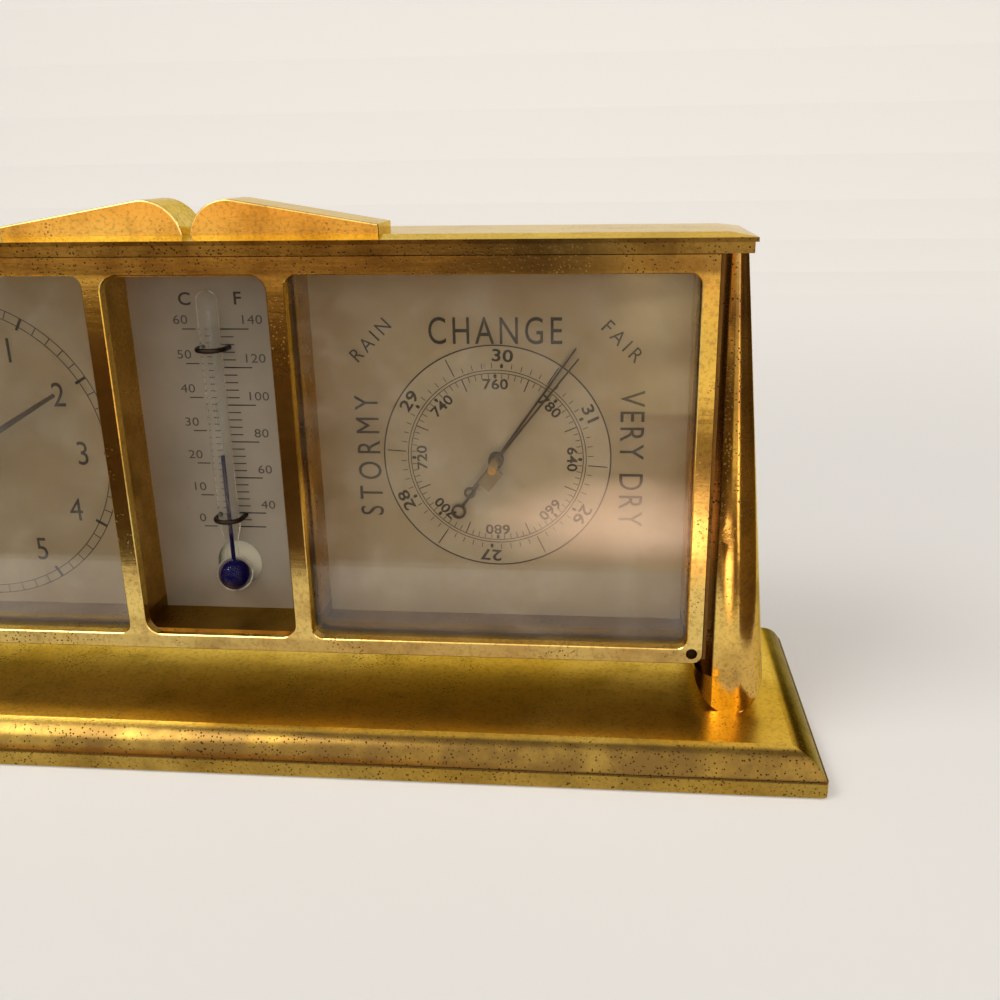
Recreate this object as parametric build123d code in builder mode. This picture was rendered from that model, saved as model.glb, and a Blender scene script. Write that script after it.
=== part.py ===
from build123d import *
import os
from math import asin, atan2, cos, degrees, hypot, radians, sin

os.makedirs("parts", exist_ok=True)

# A brass desk weather station: clock, thermometer and barometer behind one front frame.
# X runs to the right, Y to the back and Z up. The origin is under the middle of the base.
# "Depth" below is the distance behind the front of the frame.

# Base and felt
base_side = 11.9
base_depth = 43.0
base_top = 6.1
fascia_height = 2.5
moulding_ledge = 0.15
moulding_front = 3.45
moulding_side = 4.3
moulding_bulge = 0.6
base_corner = 0.6
base_foot_edge = 0.3
felt_thickness = 1.2
felt_proud = 0.2
felt_inset = 5.0

# Front frame and its windows
front_ledge = 12.85
frame_thickness = 1.6
frame_gap = 6.7
frame_edge = 0.12
window_height = 52.0
window_width = 53.8
window_sill = 2.25
window_head = 2.45
end_stile = 2.25
window_corner = 1.5
frame_corner = 1.5
mullion = 2.5
centre_window = 22.6
centre_corner = 2.2
pin_hole = 1.6
pin_inset = 1.55
pin_recess = 1.2
pin_length = 1.9

# Case box and rear cover
case_side = 0.55
case_wall = 0.8
cover_thickness = 1.0
cover_play = 0.1
lug_size = 5.0
cover_screw = 1.6
cover_screw_head = 3.0
cover_screw_head_height = 1.1
screw_bite = 3.6

# Cheeks
foot_radius = 4.9
nose_ease = 0.05
foot_outside = 3.45
foot_flat = 0.25
cheek_top_radius = 1.6
cheek_top_outside = 1.55
nose_axis_depth = 3.65
groove_width = 1.35
groove_depth = 5.4
groove_below = 1.7
cheek_screw = 2.6
cheek_screw_head = 5.0
cheek_screw_length = 8.0
cheek_screw_spread = 12.0

# Top plate and crest
top_side = 2.25
top_rear = 0.5
lip_overhang = 0.4
lip_edge = 0.55
bevel_drop = 0.5
bevel_width = 3.2
band_height = 1.4
wing_length = 25.5
wing_gap = 0.9
wing_crest = 4.5
wing_crest_at = 6.0
wing_tip = 1.25
wing_depth = 7.8
wing_front = 3.4
wing_edge = 0.25
crest_screw = 1.6
crest_screw_head = 3.2
crest_screw_bite = 1.4
crest_screw_near = 5.5
crest_screw_pitch = 10.0
top_screw = 2.0
top_screw_head = 4.0
top_screw_head_height = 1.2
top_screw_length = 2.6
top_screw_inset = 10.4
top_screw_depth = 15.0

# Glasses, wells and dials
glass_thickness = 1.5
glass_lap = 0.5
glass_corner = 1.2
well_lap = 0.4
well_wall = 0.8
dial_depth = 9.5
dial_thickness = 0.8
dial_inward = 0.55
dial_down = 1.1

# Thermometer
tube_radius = 1.55
tube_head = 2.75
shoulder_rise = 7.3
neck_radius = 0.9
neck_rise = 5.1
bulb_radius = 2.8
bulb_rise = 6.65
bulb_wall = 0.3
bore_radius = 0.35
spirit_play = 0.05
spirit_rise = 18.6
tube_stand_off = 0.05
bulb_window_x = 0.3
bulb_window_rise = 1.2
bulb_window_width = 6.8
bulb_window_height = 7.1
clip_wire = 0.7
clip_under_top = 8.3
clip_over_shoulder = 1.6
clip_tail = 0.4
clip_play = 0.05
post_radius = 1.5
post_end_inset = 6.5
post_side_inset = 3.9
bracket_gap = 0.7
bracket_thickness = 0.5
bracket_margin = 1.5

# Running fits and clearances
running_fit = 0.05
side_play = 0.3

# Clock movement
plate_margin = 1.04
plate_corner = 4.0
plate_thickness = 1.2
back_plate_thickness = 1.0
pillar_radius = 1.5
pillar_inset = 2.5
dial_foot_radius = 1.0
dial_foot_inset = 7.0
arbor_radius = 0.6
centre_teeth = 64
centre_pinion_leaves = 9
centre_module = 0.30
third_pinion_leaves = 8
third_teeth = 60
third_angle = 60.0
fourth_module = 0.25
fourth_teeth = 70
fourth_pinion_leaves = 8
fourth_angle = -40.0
escape_pinion_leaves = 7
escape_angle = -80.0
escape_teeth = 15
escape_radius = 4.5
barrel_teeth = 72
barrel_module = 0.33
barrel_angle = 215.0
barrel_height = 2.8
barrel_clearance = 1.2
barrel_arbor_radius = 1.5
wheel_thickness = 0.6
pinion_length = 1.2
spoke_width = 1.2
rim_width = 1.3
hub_radius = 1.9
lever_reach = 6.3
balance_reach = 6.6
balance_right = 6.5
balance_drop = 16.5
balance_radius = 5.0
lever_width = 1.0

# Motion work and hands of the clock
motion_module = 0.4
cannon_leaves = 10
minute_wheel_teeth = 30
minute_pinion_leaves = 8
hour_wheel_teeth = 32
minute_wheel_angle = 135.0
cannon_pipe_radius = 1.0
hour_pipe_radius = 1.65
motion_gap = 0.5
minute_hand_height = 3.1
hour_hand_height = 2.0
clock_hand_thickness = 0.3
minute_hand_length = 19.0
hour_hand_length = 13.0
hand_width = 1.1
minute_hand_angle = 60.0
hour_hand_angle = 305.0

# Rear knob and key
knob_radius = 4.0
knob_length = 3.5
knob_flutes = 20
knob_flute_radius = 0.35
key_hub_radius = 2.4
key_hub_length = 3.0
key_span = 15.0
key_blade = 1.6
key_wing_length = 3.6
rear_reach = 0.8

# Barometer
barometer_hand_angle = 35.3
barometer_hand_height = 0.6
barometer_hand_length = 19.7
barometer_tail = 9.9
barometer_ring_radius = 1.1
marker_angle = 38.5
marker_height = 1.5
marker_length = 18.9
marker_tail = 6.2
marker_ring_radius = 0.85
fine_hand_width = 0.42
fine_hand_thickness = 0.25
ring_wire = 0.35
hub_disc_radius = 1.1
poise_length = 3.4
poise_width = 2.1
poise_offset = 2.6
poise_side = 1.0
barometer_arbor_radius = 0.6
barometer_plate_margin = 3.7
barometer_plate_thickness = 1.0
barometer_pillar_inset = 2.0
capsule_radius = 15.0
capsule_rings = 3
capsule_ripple = 0.35
capsule_post_radius = 1.4
capsule_post_length = 0.7
spring_thickness = 0.7
spring_width = 11.0
spring_gap = 1.3
spring_foot_length = 3.0
spring_tongue = 3.0
bridge_gap = 1.6
bridge_thickness = 1.0
bridge_width = 5.0
bridge_clearance = 1.5
bridge_leg = 2.0
pulley_radius = 1.6
pulley_length = 0.8
lever_arm_length = 13.0
lever_pin_radius = 0.35
lever_pin_length = 4.0
rocker_radius = 0.7
rocker_length = 12.0
rocker_arm = 4.5
rocker_offset = 6.0
adjuster_radius = 1.6
adjuster_slot = 0.6
hairspring_outer = 3.8
hairspring_collet = 1.0
hairspring_turns = 4
hairspring_wire = 0.22
hairspring_thickness = 0.35

# Values that follow from the sizes above
front_y = front_ledge - base_depth / 2
frame_width = centre_window + 2 * (mullion + window_width + end_stile)
frame_height = window_sill + window_height + window_head
frame_bottom = base_top + frame_gap
frame_top = frame_bottom + frame_height
frame_mid = frame_bottom + frame_height / 2
window_mid = frame_bottom + window_sill + window_height / 2
window_x = centre_window / 2 + mullion + window_width / 2
dial_x = window_x - dial_inward
dial_z = window_mid - dial_down
glass_front = frame_thickness
glass_back = glass_front + glass_thickness
dial_back = dial_depth + dial_thickness
well_width = window_width + 2 * well_lap
well_height = window_height + 2 * glass_lap
centre_well_width = centre_window + 4 * well_wall
# The layers behind the dial set how deep the case is
motion_front_depth = dial_back + motion_gap
motion_back_depth = motion_front_depth + wheel_thickness + motion_gap
front_plate_depth = motion_back_depth + wheel_thickness + motion_gap
train_front = front_plate_depth + plate_thickness
barrel_front = train_front + 2 * side_play
centre_front = barrel_front + barrel_height + barrel_clearance
back_plate_front = centre_front + wheel_thickness + 2 * side_play
case_depth = back_plate_front + back_plate_thickness
cover_back = case_depth + cover_thickness
case_width = frame_width + 2 * case_side
case_half = case_width / 2
# Cheeks stand against the case; base and top plate reach past them
foot_centre_x = case_half + foot_outside
cheek_top_x = case_half + cheek_top_outside
base_width = 2 * (foot_centre_x + base_side)
top_width = 2 * (cheek_top_x + top_side)
top_depth = lip_overhang + cover_back + top_rear
band_top = frame_top + band_height
lip_top = band_top + lip_edge
top_surface = lip_top + bevel_drop
tube_depth = dial_depth - tube_radius - tube_stand_off
tube_top = window_mid + window_height / 2 - tube_head
bulb_z = window_mid - window_height / 2 + bulb_rise
neck_top = bulb_z + neck_rise
tube_shoulder = bulb_z + shoulder_rise
spirit_top = bulb_z + spirit_rise
minute_hand_depth = dial_depth - minute_hand_height
hour_hand_depth = dial_depth - hour_hand_height
barometer_hand_depth = dial_depth - barometer_hand_height
marker_depth = dial_depth - marker_height
bridge_depth = dial_back + bridge_gap
bridge_back = bridge_depth + bridge_thickness
spring_depth = bridge_back + spring_gap
spring_back = spring_depth + spring_thickness
clock_x = -dial_x
clock_z = dial_z
# The clock plates span the barrel and the centre wheel; the barometer plate spans capsule and spring foot
plate_size = barrel_teeth * barrel_module + centre_teeth * centre_module + plate_margin
barometer_plate_size = 2 * (capsule_radius + side_play + spring_foot_length + barometer_plate_margin)
bridge_span = 2 * (capsule_radius + bridge_clearance + bridge_leg)


def at_depth(depth, x=0.0, z=0.0, turn=0.0):
    """A plane that faces the front at a depth; its own Y points up, turned clockwise by turn degrees."""
    lean = radians(turn)
    return Plane((x, front_y + depth, z), x_dir=(cos(lean), 0, -sin(lean)), z_dir=(0, -1, 0))


def rod(x, z, front, back, radius, mode=Mode.ADD):
    """A round bar along Y between two depths."""
    with Locations((x, front_y + (front + back) / 2, z)):
        Cylinder(radius, back - front, rotation=(90, 0, 0), mode=mode)


def slab(x, z, front, back, width, height, mode=Mode.ADD):
    """A block with its faces square to the frame."""
    with Locations((x, front_y + (front + back) / 2, z)):
        Box(width, back - front, height, mode=mode)


def save(builder, name):
    """Label a finished piece and write its file."""
    builder.part.label = name
    export_step(builder.part, f"parts/{name}.step")


def polar(x, z, distance, angle):
    """A point at a distance and an angle, counted anticlockwise from the right as seen from the front."""
    return x + distance * cos(radians(angle)), z + distance * sin(radians(angle))


def tooth_points(teeth, module, share, phase):
    """The outline of a toothed wheel: each tooth takes its share of the pitch at the pitch circle."""
    pitch = 360.0 / teeth
    root = module * (teeth / 2 - 1.25)
    tip = module * (teeth / 2 + 0.9)
    points = []
    for tooth in range(teeth):
        middle = phase + tooth * pitch
        for radius, half in ((root, -0.62), (tip, -0.22), (tip, 0.22), (root, 0.62)):
            angle = radians(middle + half * share * pitch)
            points.append((radius * cos(angle), radius * sin(angle)))
    return points


def mesh_phase(phase, teeth, other_teeth, angle):
    """The phase that puts a wheel in mesh with another one that lies at an angle from it."""
    pitch = 360.0 / teeth
    other_pitch = 360.0 / other_teeth
    behind = ((angle - phase) % pitch) / pitch
    return angle + 180 + behind * other_pitch + other_pitch / 2


def pitch_radius(teeth, module):
    return teeth * module / 2


def toothed(x, z, front, length, teeth, module, share, phase):
    """A toothed disc that starts at a depth and runs backwards."""
    with BuildSketch(at_depth(front, x, z)) as outline:
        Polygon(*tooth_points(teeth, module, share, phase), align=None)
    extrude(outline.sketch, amount=-length)


def crossed_wheel(x, z, front, teeth, module, phase):
    """A train wheel with a rim, a hub and four spokes."""
    inner = module * (teeth / 2 - 1.25) - rim_width
    with BuildSketch(at_depth(front, x, z)) as outline:
        Polygon(*tooth_points(teeth, module, wheel_share, phase), align=None)
        Circle(inner, mode=Mode.SUBTRACT)
        Rectangle(2 * inner + rim_width, spoke_width)
        Rectangle(spoke_width, 2 * inner + rim_width)
        Circle(hub_radius)
    extrude(outline.sketch, amount=-wheel_thickness)


wheel_share = 0.42
pinion_share = 0.32


def moulding(half, inset):
    """Half of the base's cross-section: fascia, fine ledge, and a swelling slope up to the flat top."""
    foot = (half, felt_proud)
    ledge_out = (half, felt_proud + fascia_height)
    ledge_in = (half - moulding_ledge, felt_proud + fascia_height)
    brim = (half - moulding_ledge - inset, base_top)
    rise = base_top - felt_proud - fascia_height
    chord = hypot(inset, rise)
    swell = (
        (ledge_in[0] + brim[0]) / 2 + moulding_bulge * rise / chord,
        (ledge_in[1] + brim[1]) / 2 + moulding_bulge * inset / chord,
    )
    face = Polyline((0, felt_proud), foot, ledge_out, ledge_in)
    slope = ThreePointArc(face @ 1, swell, brim)
    Polyline(slope @ 1, (0, base_top), face @ 0)


# Moulded base: the front section runs the whole width and the side section cuts it, which mitres the corners
with BuildPart() as base:
    with BuildSketch(Plane.YZ):
        with BuildLine():
            moulding(base_depth / 2, moulding_front)
        make_face()
        mirror(about=Plane.YZ)
    extrude(amount=base_width / 2, both=True)
    with BuildSketch(Plane.XZ):
        with BuildLine():
            moulding(base_width / 2, moulding_side)
        make_face()
        mirror(about=Plane.YZ)
    extrude(amount=base_depth / 2, both=True, mode=Mode.INTERSECT)
    with BuildSketch(Plane.XY):
        RectangleRounded(base_width, base_depth, base_corner)
    extrude(amount=base_top, mode=Mode.INTERSECT)
    fillet(base.faces().sort_by(Axis.Z)[0].edges(), base_foot_edge)
    with BuildSketch(Plane.XY.offset(felt_proud)):
        RectangleRounded(base_width - 2 * felt_inset, base_depth - 2 * felt_inset, base_corner)
    extrude(amount=felt_thickness - felt_proud, mode=Mode.SUBTRACT)
    for side in (-1, 1):
        for along in (0, cheek_screw_spread):
            with Locations((side * foot_centre_x, front_y + nose_axis_depth + along, felt_thickness)):
                Cone(
                    cheek_screw_head / 2, cheek_screw / 2, (cheek_screw_head - cheek_screw) / 2,
                    align=(Align.CENTER, Align.CENTER, Align.MIN), mode=Mode.SUBTRACT,
                )
                Cylinder(
                    cheek_screw / 2, base_top,
                    align=(Align.CENTER, Align.CENTER, Align.MIN), mode=Mode.SUBTRACT,
                )
save(base, "base")

with BuildPart() as base_felt:
    with BuildSketch(Plane.XY):
        RectangleRounded(base_width - 2 * felt_inset, base_depth - 2 * felt_inset, base_corner)
    extrude(amount=felt_thickness)
save(base_felt, "base_felt")

# Cheeks: a tapered half-round nose with a wall behind it, cut to a teardrop in front view
foot_z = base_top + foot_radius - foot_flat
club_rise = frame_top - foot_z
club_length = hypot(cheek_top_x - foot_centre_x, club_rise)
nose_radius = foot_radius - nose_ease
club_lean = asin((nose_radius - cheek_top_radius) / club_length)
club_axis = ((cheek_top_x - foot_centre_x) / club_length, 0, club_rise / club_length)
club_plane = Plane(
    (foot_centre_x, front_y + nose_axis_depth, foot_z),
    x_dir=(club_axis[2], 0, -club_axis[0]),
    z_dir=(0, -1, 0),
)
club_over = club_length + 2 * cheek_top_radius
club_taper = sin(club_lean) / cos(club_lean)
club_end_radius = nose_radius / cos(club_lean) - club_over * club_taper
club_foot_radius = nose_radius / cos(club_lean) + foot_radius * club_taper
with BuildPart() as right_cheek:
    with BuildSketch(club_plane):
        with BuildLine():
            Polyline(
                (0, -foot_radius), (club_foot_radius, -foot_radius),
                (club_end_radius, club_over), (0, club_over),
                close=True,
            )
        make_face()
    revolve(axis=Axis(club_plane.origin, club_plane.y_dir), revolution_arc=360)
    with BuildSketch(club_plane):
        with BuildLine():
            Polyline(
                (-club_foot_radius, -foot_radius), (club_foot_radius, -foot_radius),
                (club_end_radius, club_over), (-club_end_radius, club_over),
                close=True,
            )
        make_face()
    extrude(amount=nose_axis_depth - cover_back)
    # The round foot of the teardrop
    with BuildSketch(club_plane.offset(2 * foot_radius)):
        with BuildLine():
            foot_arc = CenterArc((0, 0), foot_radius, 180, 180)
            Polyline(
                foot_arc @ 1, (foot_radius, club_over + foot_radius),
                (-foot_radius, club_over + foot_radius), foot_arc @ 0,
            )
        make_face()
    extrude(amount=nose_axis_depth - cover_back - 4 * foot_radius, mode=Mode.INTERSECT)
    # Cut to the height between base and top plate, and to the box that it carries
    with Locations((foot_centre_x, 0, frame_top)):
        Box(
            8 * foot_radius, 2 * base_depth, 8 * foot_radius,
            align=(Align.CENTER, Align.CENTER, Align.MIN), mode=Mode.SUBTRACT,
        )
    with Locations((foot_centre_x, 0, base_top)):
        Box(
            8 * foot_radius, 2 * base_depth, foot_radius,
            align=(Align.CENTER, Align.CENTER, Align.MAX), mode=Mode.SUBTRACT,
        )
    groove_z = frame_bottom - groove_below
    with Locations((frame_width / 2 + groove_width, front_y + groove_depth, groove_z)):
        Box(
            2 * foot_radius, 4 * groove_depth, 2 * frame_height,
            align=(Align.MAX, Align.MAX, Align.MIN), mode=Mode.SUBTRACT,
        )
    with Locations((case_half, front_y + groove_depth, frame_bottom)):
        Box(
            2 * foot_radius, base_depth, 2 * frame_height,
            align=(Align.MAX, Align.MIN, Align.MIN), mode=Mode.SUBTRACT,
        )
    for along in (0, cheek_screw_spread):
        with Locations((foot_centre_x, front_y + nose_axis_depth + along, felt_thickness)):
            Cylinder(
                cheek_screw / 2, cheek_screw_length,
                align=(Align.CENTER, Align.CENTER, Align.MIN), mode=Mode.SUBTRACT,
            )
save(right_cheek, "right_cheek")

with BuildPart() as left_cheek:
    add(mirror(right_cheek.part, about=Plane.YZ))
save(left_cheek, "left_cheek")

with BuildPart() as cheek_screws:
    for side in (-1, 1):
        for along in (0, cheek_screw_spread):
            with Locations((side * foot_centre_x, front_y + nose_axis_depth + along, felt_thickness)):
                Cone(
                    cheek_screw_head / 2, cheek_screw / 2, (cheek_screw_head - cheek_screw) / 2,
                    align=(Align.CENTER, Align.CENTER, Align.MIN),
                )
                Cylinder(
                    cheek_screw / 2, cheek_screw_length,
                    align=(Align.CENTER, Align.CENTER, Align.MIN),
                )
save(cheek_screws, "cheek_screws")

# Top plate: a band under a thin lip, with a shallow bevel all round the top
top_mid_y = front_y - lip_overhang + top_depth / 2
wing_mid_y = front_y + wing_front + wing_depth / 2
crest_screw_xs = [
    side * (wing_gap / 2 + crest_screw_near + place * crest_screw_pitch) for side in (-1, 1) for place in (0, 1)
]
top_screw_spots = [(side * (case_half - top_screw_inset), front_y + top_screw_depth) for side in (-1, 1)]
crest_head_height = (crest_screw_head - crest_screw) / 2
with BuildPart() as top_plate:
    with BuildSketch(Plane((0, top_mid_y, frame_top))):
        Rectangle(top_width - 2 * lip_overhang, top_depth - 2 * lip_overhang)
    extrude(amount=band_height)
    with BuildSketch(Plane((0, top_mid_y, band_top))):
        Rectangle(top_width, top_depth)
    extrude(amount=lip_edge)
    with BuildSketch(Plane((0, top_mid_y, lip_top))):
        Rectangle(top_width, top_depth)
    with BuildSketch(Plane((0, top_mid_y, top_surface))):
        Rectangle(top_width - 2 * bevel_width, top_depth - 2 * bevel_width)
    loft(ruled=True)
    for x in crest_screw_xs:
        with Locations((x, wing_mid_y, frame_top)):
            Cone(
                crest_screw_head / 2, crest_screw / 2, crest_head_height,
                align=(Align.CENTER, Align.CENTER, Align.MIN), mode=Mode.SUBTRACT,
            )
            Cylinder(
                crest_screw / 2, top_surface - frame_top,
                align=(Align.CENTER, Align.CENTER, Align.MIN), mode=Mode.SUBTRACT,
            )
    for x, y in top_screw_spots:
        with Locations((x, y, frame_top)):
            Cylinder(
                top_screw / 2, top_screw_length - case_wall,
                align=(Align.CENTER, Align.CENTER, Align.MIN), mode=Mode.SUBTRACT,
            )
save(top_plate, "top_plate")

# Crest wings: teardrops lying on the top plate, fat ends to the middle
with BuildPart() as crest_wing_right:
    with BuildSketch(at_depth(wing_front, wing_gap / 2, top_surface)):
        with BuildLine():
            round_end = ThreePointArc(
                (0, 0), (0.27 * wing_crest_at, 0.68 * wing_crest), (wing_crest_at, wing_crest)
            )
            slope = Line(round_end @ 1, (wing_length, wing_tip))
            tip = Line(slope @ 1, (wing_length, 0))
            Line(tip @ 1, round_end @ 0)
        make_face()
    extrude(amount=-wing_depth)
    fillet(crest_wing_right.edges().group_by(Axis.Y)[0].sort_by(Axis.Z)[1:], wing_edge)
    for x in crest_screw_xs[2:]:
        with Locations((x, wing_mid_y, top_surface)):
            Cylinder(
                crest_screw / 2, crest_screw_bite,
                align=(Align.CENTER, Align.CENTER, Align.MIN), mode=Mode.SUBTRACT,
            )
save(crest_wing_right, "crest_wing_right")

with BuildPart() as crest_wing_left:
    add(mirror(crest_wing_right.part, about=Plane.YZ))
save(crest_wing_left, "crest_wing_left")

with BuildPart() as crest_screws:
    for x in crest_screw_xs:
        with Locations((x, wing_mid_y, frame_top)):
            Cone(
                crest_screw_head / 2, crest_screw / 2, crest_head_height,
                align=(Align.CENTER, Align.CENTER, Align.MIN),
            )
            Cylinder(
                crest_screw / 2, top_surface - frame_top + crest_screw_bite,
                align=(Align.CENTER, Align.CENTER, Align.MIN),
            )
save(crest_screws, "crest_screws")

with BuildPart() as top_plate_screws:
    for x, y in top_screw_spots:
        with Locations((x, y, frame_top - case_wall)):
            Cylinder(
                top_screw / 2, top_screw_length,
                align=(Align.CENTER, Align.CENTER, Align.MIN),
            )
            Cylinder(
                top_screw_head / 2, top_screw_head_height,
                align=(Align.CENTER, Align.CENTER, Align.MAX),
            )
save(top_plate_screws, "top_plate_screws")

# Front frame with three windows and a pin hole in each lower corner
pin_spots = [(side * (frame_width / 2 - pin_inset), frame_bottom + pin_inset) for side in (-1, 1)]
with BuildPart() as front_frame:
    with BuildSketch(at_depth(0, 0, 0)) as frame_outline:
        with Locations((0, frame_mid)):
            Rectangle(frame_width, frame_height)
        fillet(frame_outline.vertices().sort_by(Axis.Y)[:2], frame_corner)
        with Locations((-window_x, window_mid), (window_x, window_mid)):
            RectangleRounded(window_width, window_height, window_corner, mode=Mode.SUBTRACT)
        with Locations((0, window_mid)):
            RectangleRounded(centre_window, window_height, centre_corner, mode=Mode.SUBTRACT)
    extrude(amount=-frame_thickness)
    chamfer(front_frame.faces().sort_by(Axis.Y)[0].edges(), frame_edge)
    for x, z in pin_spots:
        rod(x, z, 0, frame_thickness, pin_hole / 2, Mode.SUBTRACT)
save(front_frame, "front_frame")

with BuildPart() as frame_pins:
    for x, z in pin_spots:
        rod(x, z, pin_recess, pin_recess + pin_length, pin_hole / 2)
save(frame_pins, "frame_pins")

# Case box: a folded sheet with corner lugs for the cover and for the frame pins
lug_reach = case_wall + lug_size / 2
cover_spots = [
    (across * (case_half - lug_reach), up)
    for across in (-1, 0, 1)
    for up in (frame_bottom + lug_reach, frame_top - lug_reach)
]
pin_lug = 2 * pin_inset
with BuildPart() as case_body:
    slab(0, frame_mid, frame_thickness, case_depth, case_width, frame_height)
    slab(
        0, frame_mid, 0, case_depth + cover_thickness,
        case_width - 2 * case_wall, frame_height - 2 * case_wall, Mode.SUBTRACT,
    )
    for x, z in cover_spots:
        slab(x, z, case_depth - screw_bite, case_depth, lug_size, lug_size)
        rod(x, z, case_depth - screw_bite, case_depth, cover_screw / 2, Mode.SUBTRACT)
    for x, z in pin_spots:
        lug_top = frame_bottom + window_sill - glass_lap
        slab(
            x, (frame_bottom + lug_top) / 2, frame_thickness, pin_recess + pin_length,
            pin_lug, lug_top - frame_bottom,
        )
        rod(x, z, 0, pin_recess + pin_length, pin_hole / 2, Mode.SUBTRACT)
    for x, y in top_screw_spots:
        with Locations((x, y, frame_top - case_wall / 2)):
            Cylinder(top_screw / 2, case_wall, mode=Mode.SUBTRACT)
save(case_body, "case_body")

# Places of the clock train, as seen from the front
centre_spot = (clock_x, clock_z)
barrel_reach = pitch_radius(barrel_teeth, barrel_module) + pitch_radius(centre_pinion_leaves, barrel_module)
barrel_spot = polar(*centre_spot, barrel_reach, barrel_angle)
third_reach = pitch_radius(centre_teeth, centre_module) + pitch_radius(third_pinion_leaves, centre_module)
third_spot = polar(*centre_spot, third_reach, third_angle)
fourth_reach = pitch_radius(third_teeth, centre_module) + pitch_radius(fourth_pinion_leaves, centre_module)
fourth_spot = polar(*third_spot, fourth_reach, fourth_angle)
escape_reach = pitch_radius(fourth_teeth, fourth_module) + pitch_radius(escape_pinion_leaves, fourth_module)
escape_spot = polar(*fourth_spot, escape_reach, escape_angle)
balance_angle = degrees(
    atan2(clock_z - balance_drop - escape_spot[1], clock_x + balance_right - escape_spot[0])
)
lever_spot = polar(*escape_spot, lever_reach, balance_angle)
balance_spot = polar(*lever_spot, balance_reach, balance_angle)
motion_reach = pitch_radius(cannon_leaves, motion_module) + pitch_radius(minute_wheel_teeth, motion_module)
minute_wheel_spot = polar(*centre_spot, motion_reach, minute_wheel_angle)
adjuster_spot = (dial_x - capsule_radius - side_play - spring_foot_length / 2, dial_z)

with BuildPart() as rear_cover:
    slab(0, frame_mid, case_depth, cover_back, case_width - 2 * cover_play, frame_height - 2 * cover_play)
    for x, z in cover_spots:
        rod(x, z, case_depth, cover_back, cover_screw / 2, Mode.SUBTRACT)
    rod(*centre_spot, case_depth, cover_back, arbor_radius + side_play, Mode.SUBTRACT)
    rod(*barrel_spot, case_depth, cover_back, barrel_arbor_radius + side_play, Mode.SUBTRACT)
    rod(*adjuster_spot, case_depth, cover_back, adjuster_radius + side_play, Mode.SUBTRACT)
save(rear_cover, "rear_cover")

with BuildPart() as rear_cover_screws:
    for x, z in cover_spots:
        rod(x, z, case_depth + cover_thickness - screw_bite, cover_back, cover_screw / 2)
        rod(x, z, cover_back, cover_back + cover_screw_head_height, cover_screw_head / 2)
save(rear_cover_screws, "rear_cover_screws")

# Glass, well and dial of the clock and of the barometer
for side, name in ((-1, "clock"), (1, "barometer")):
    with BuildPart() as glass:
        slab(
            side * window_x, window_mid, glass_front, glass_back,
            window_width + 2 * glass_lap, window_height + 2 * glass_lap,
        )
        chamfer(glass.edges().filter_by(Axis.Y), glass_corner)
    save(glass, f"{name}_glass")
    with BuildPart() as well:
        slab(side * window_x, window_mid, glass_back, dial_depth, well_width, well_height)
        slab(
            side * window_x, window_mid, glass_back, dial_depth,
            well_width - 2 * well_wall, well_height - 2 * well_wall, Mode.SUBTRACT,
        )
    save(well, f"{name}_well")
    with BuildPart() as dial:
        slab(side * window_x, window_mid, dial_depth, dial_back, well_width, well_height)
        rod(side * dial_x, dial_z, dial_depth, dial_back, hour_pipe_radius + side_play, Mode.SUBTRACT)
    save(dial, f"{name}_dial")

# Thermometer in its own well, open to the front
with BuildPart() as thermometer_well:
    slab(0, window_mid, frame_thickness, dial_depth, centre_well_width, well_height)
    slab(
        0, window_mid, frame_thickness, dial_depth,
        centre_well_width - 2 * well_wall, well_height - 2 * well_wall, Mode.SUBTRACT,
    )
save(thermometer_well, "thermometer_well")

clip_radius = tube_radius + clip_play + clip_wire / 2
clip_heights = (tube_shoulder + clip_over_shoulder, tube_top - clip_under_top)
with BuildPart() as thermometer_plate:
    slab(0, window_mid, dial_depth, dial_back, centre_well_width, well_height)
    with BuildSketch(at_depth(dial_depth, bulb_window_x, bulb_z + bulb_window_rise)):
        Ellipse(bulb_window_width / 2, bulb_window_height / 2)
    extrude(amount=-dial_thickness, mode=Mode.SUBTRACT)
    for z in clip_heights:
        for side in (-1, 1):
            rod(side * clip_radius, z, dial_depth, dial_back, clip_wire / 2 + clip_play, Mode.SUBTRACT)
save(thermometer_plate, "thermometer_plate")

# Glass stem with its bulb, hollow along the bore, and the spirit that fills it
stem_plane = at_depth(tube_depth)
stem_axis = Axis((0, front_y + tube_depth, 0), (0, 0, 1))
shoulder_z = bulb_z + (bulb_radius**2 - neck_radius**2) ** 0.5


def bowl_and_thread(play, top):
    """Half of the hollow in the glass, made smaller all round by a play."""
    bowl_radius = bulb_radius - bulb_wall - play
    thread_radius = bore_radius - play
    neck_z = bulb_z + (bowl_radius**2 - thread_radius**2) ** 0.5
    bowl = ThreePointArc((0, bulb_z - bowl_radius), (bowl_radius, bulb_z), (thread_radius, neck_z))
    thread = Line(bowl @ 1, (thread_radius, top))
    meniscus = Line(thread @ 1, (0, top))
    Line(meniscus @ 1, bowl @ 0)


with BuildPart() as thermometer_spirit:
    with BuildSketch(stem_plane):
        with BuildLine():
            bowl_and_thread(spirit_play, spirit_top)
        make_face()
    revolve(axis=stem_axis)
save(thermometer_spirit, "thermometer_spirit")

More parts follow.
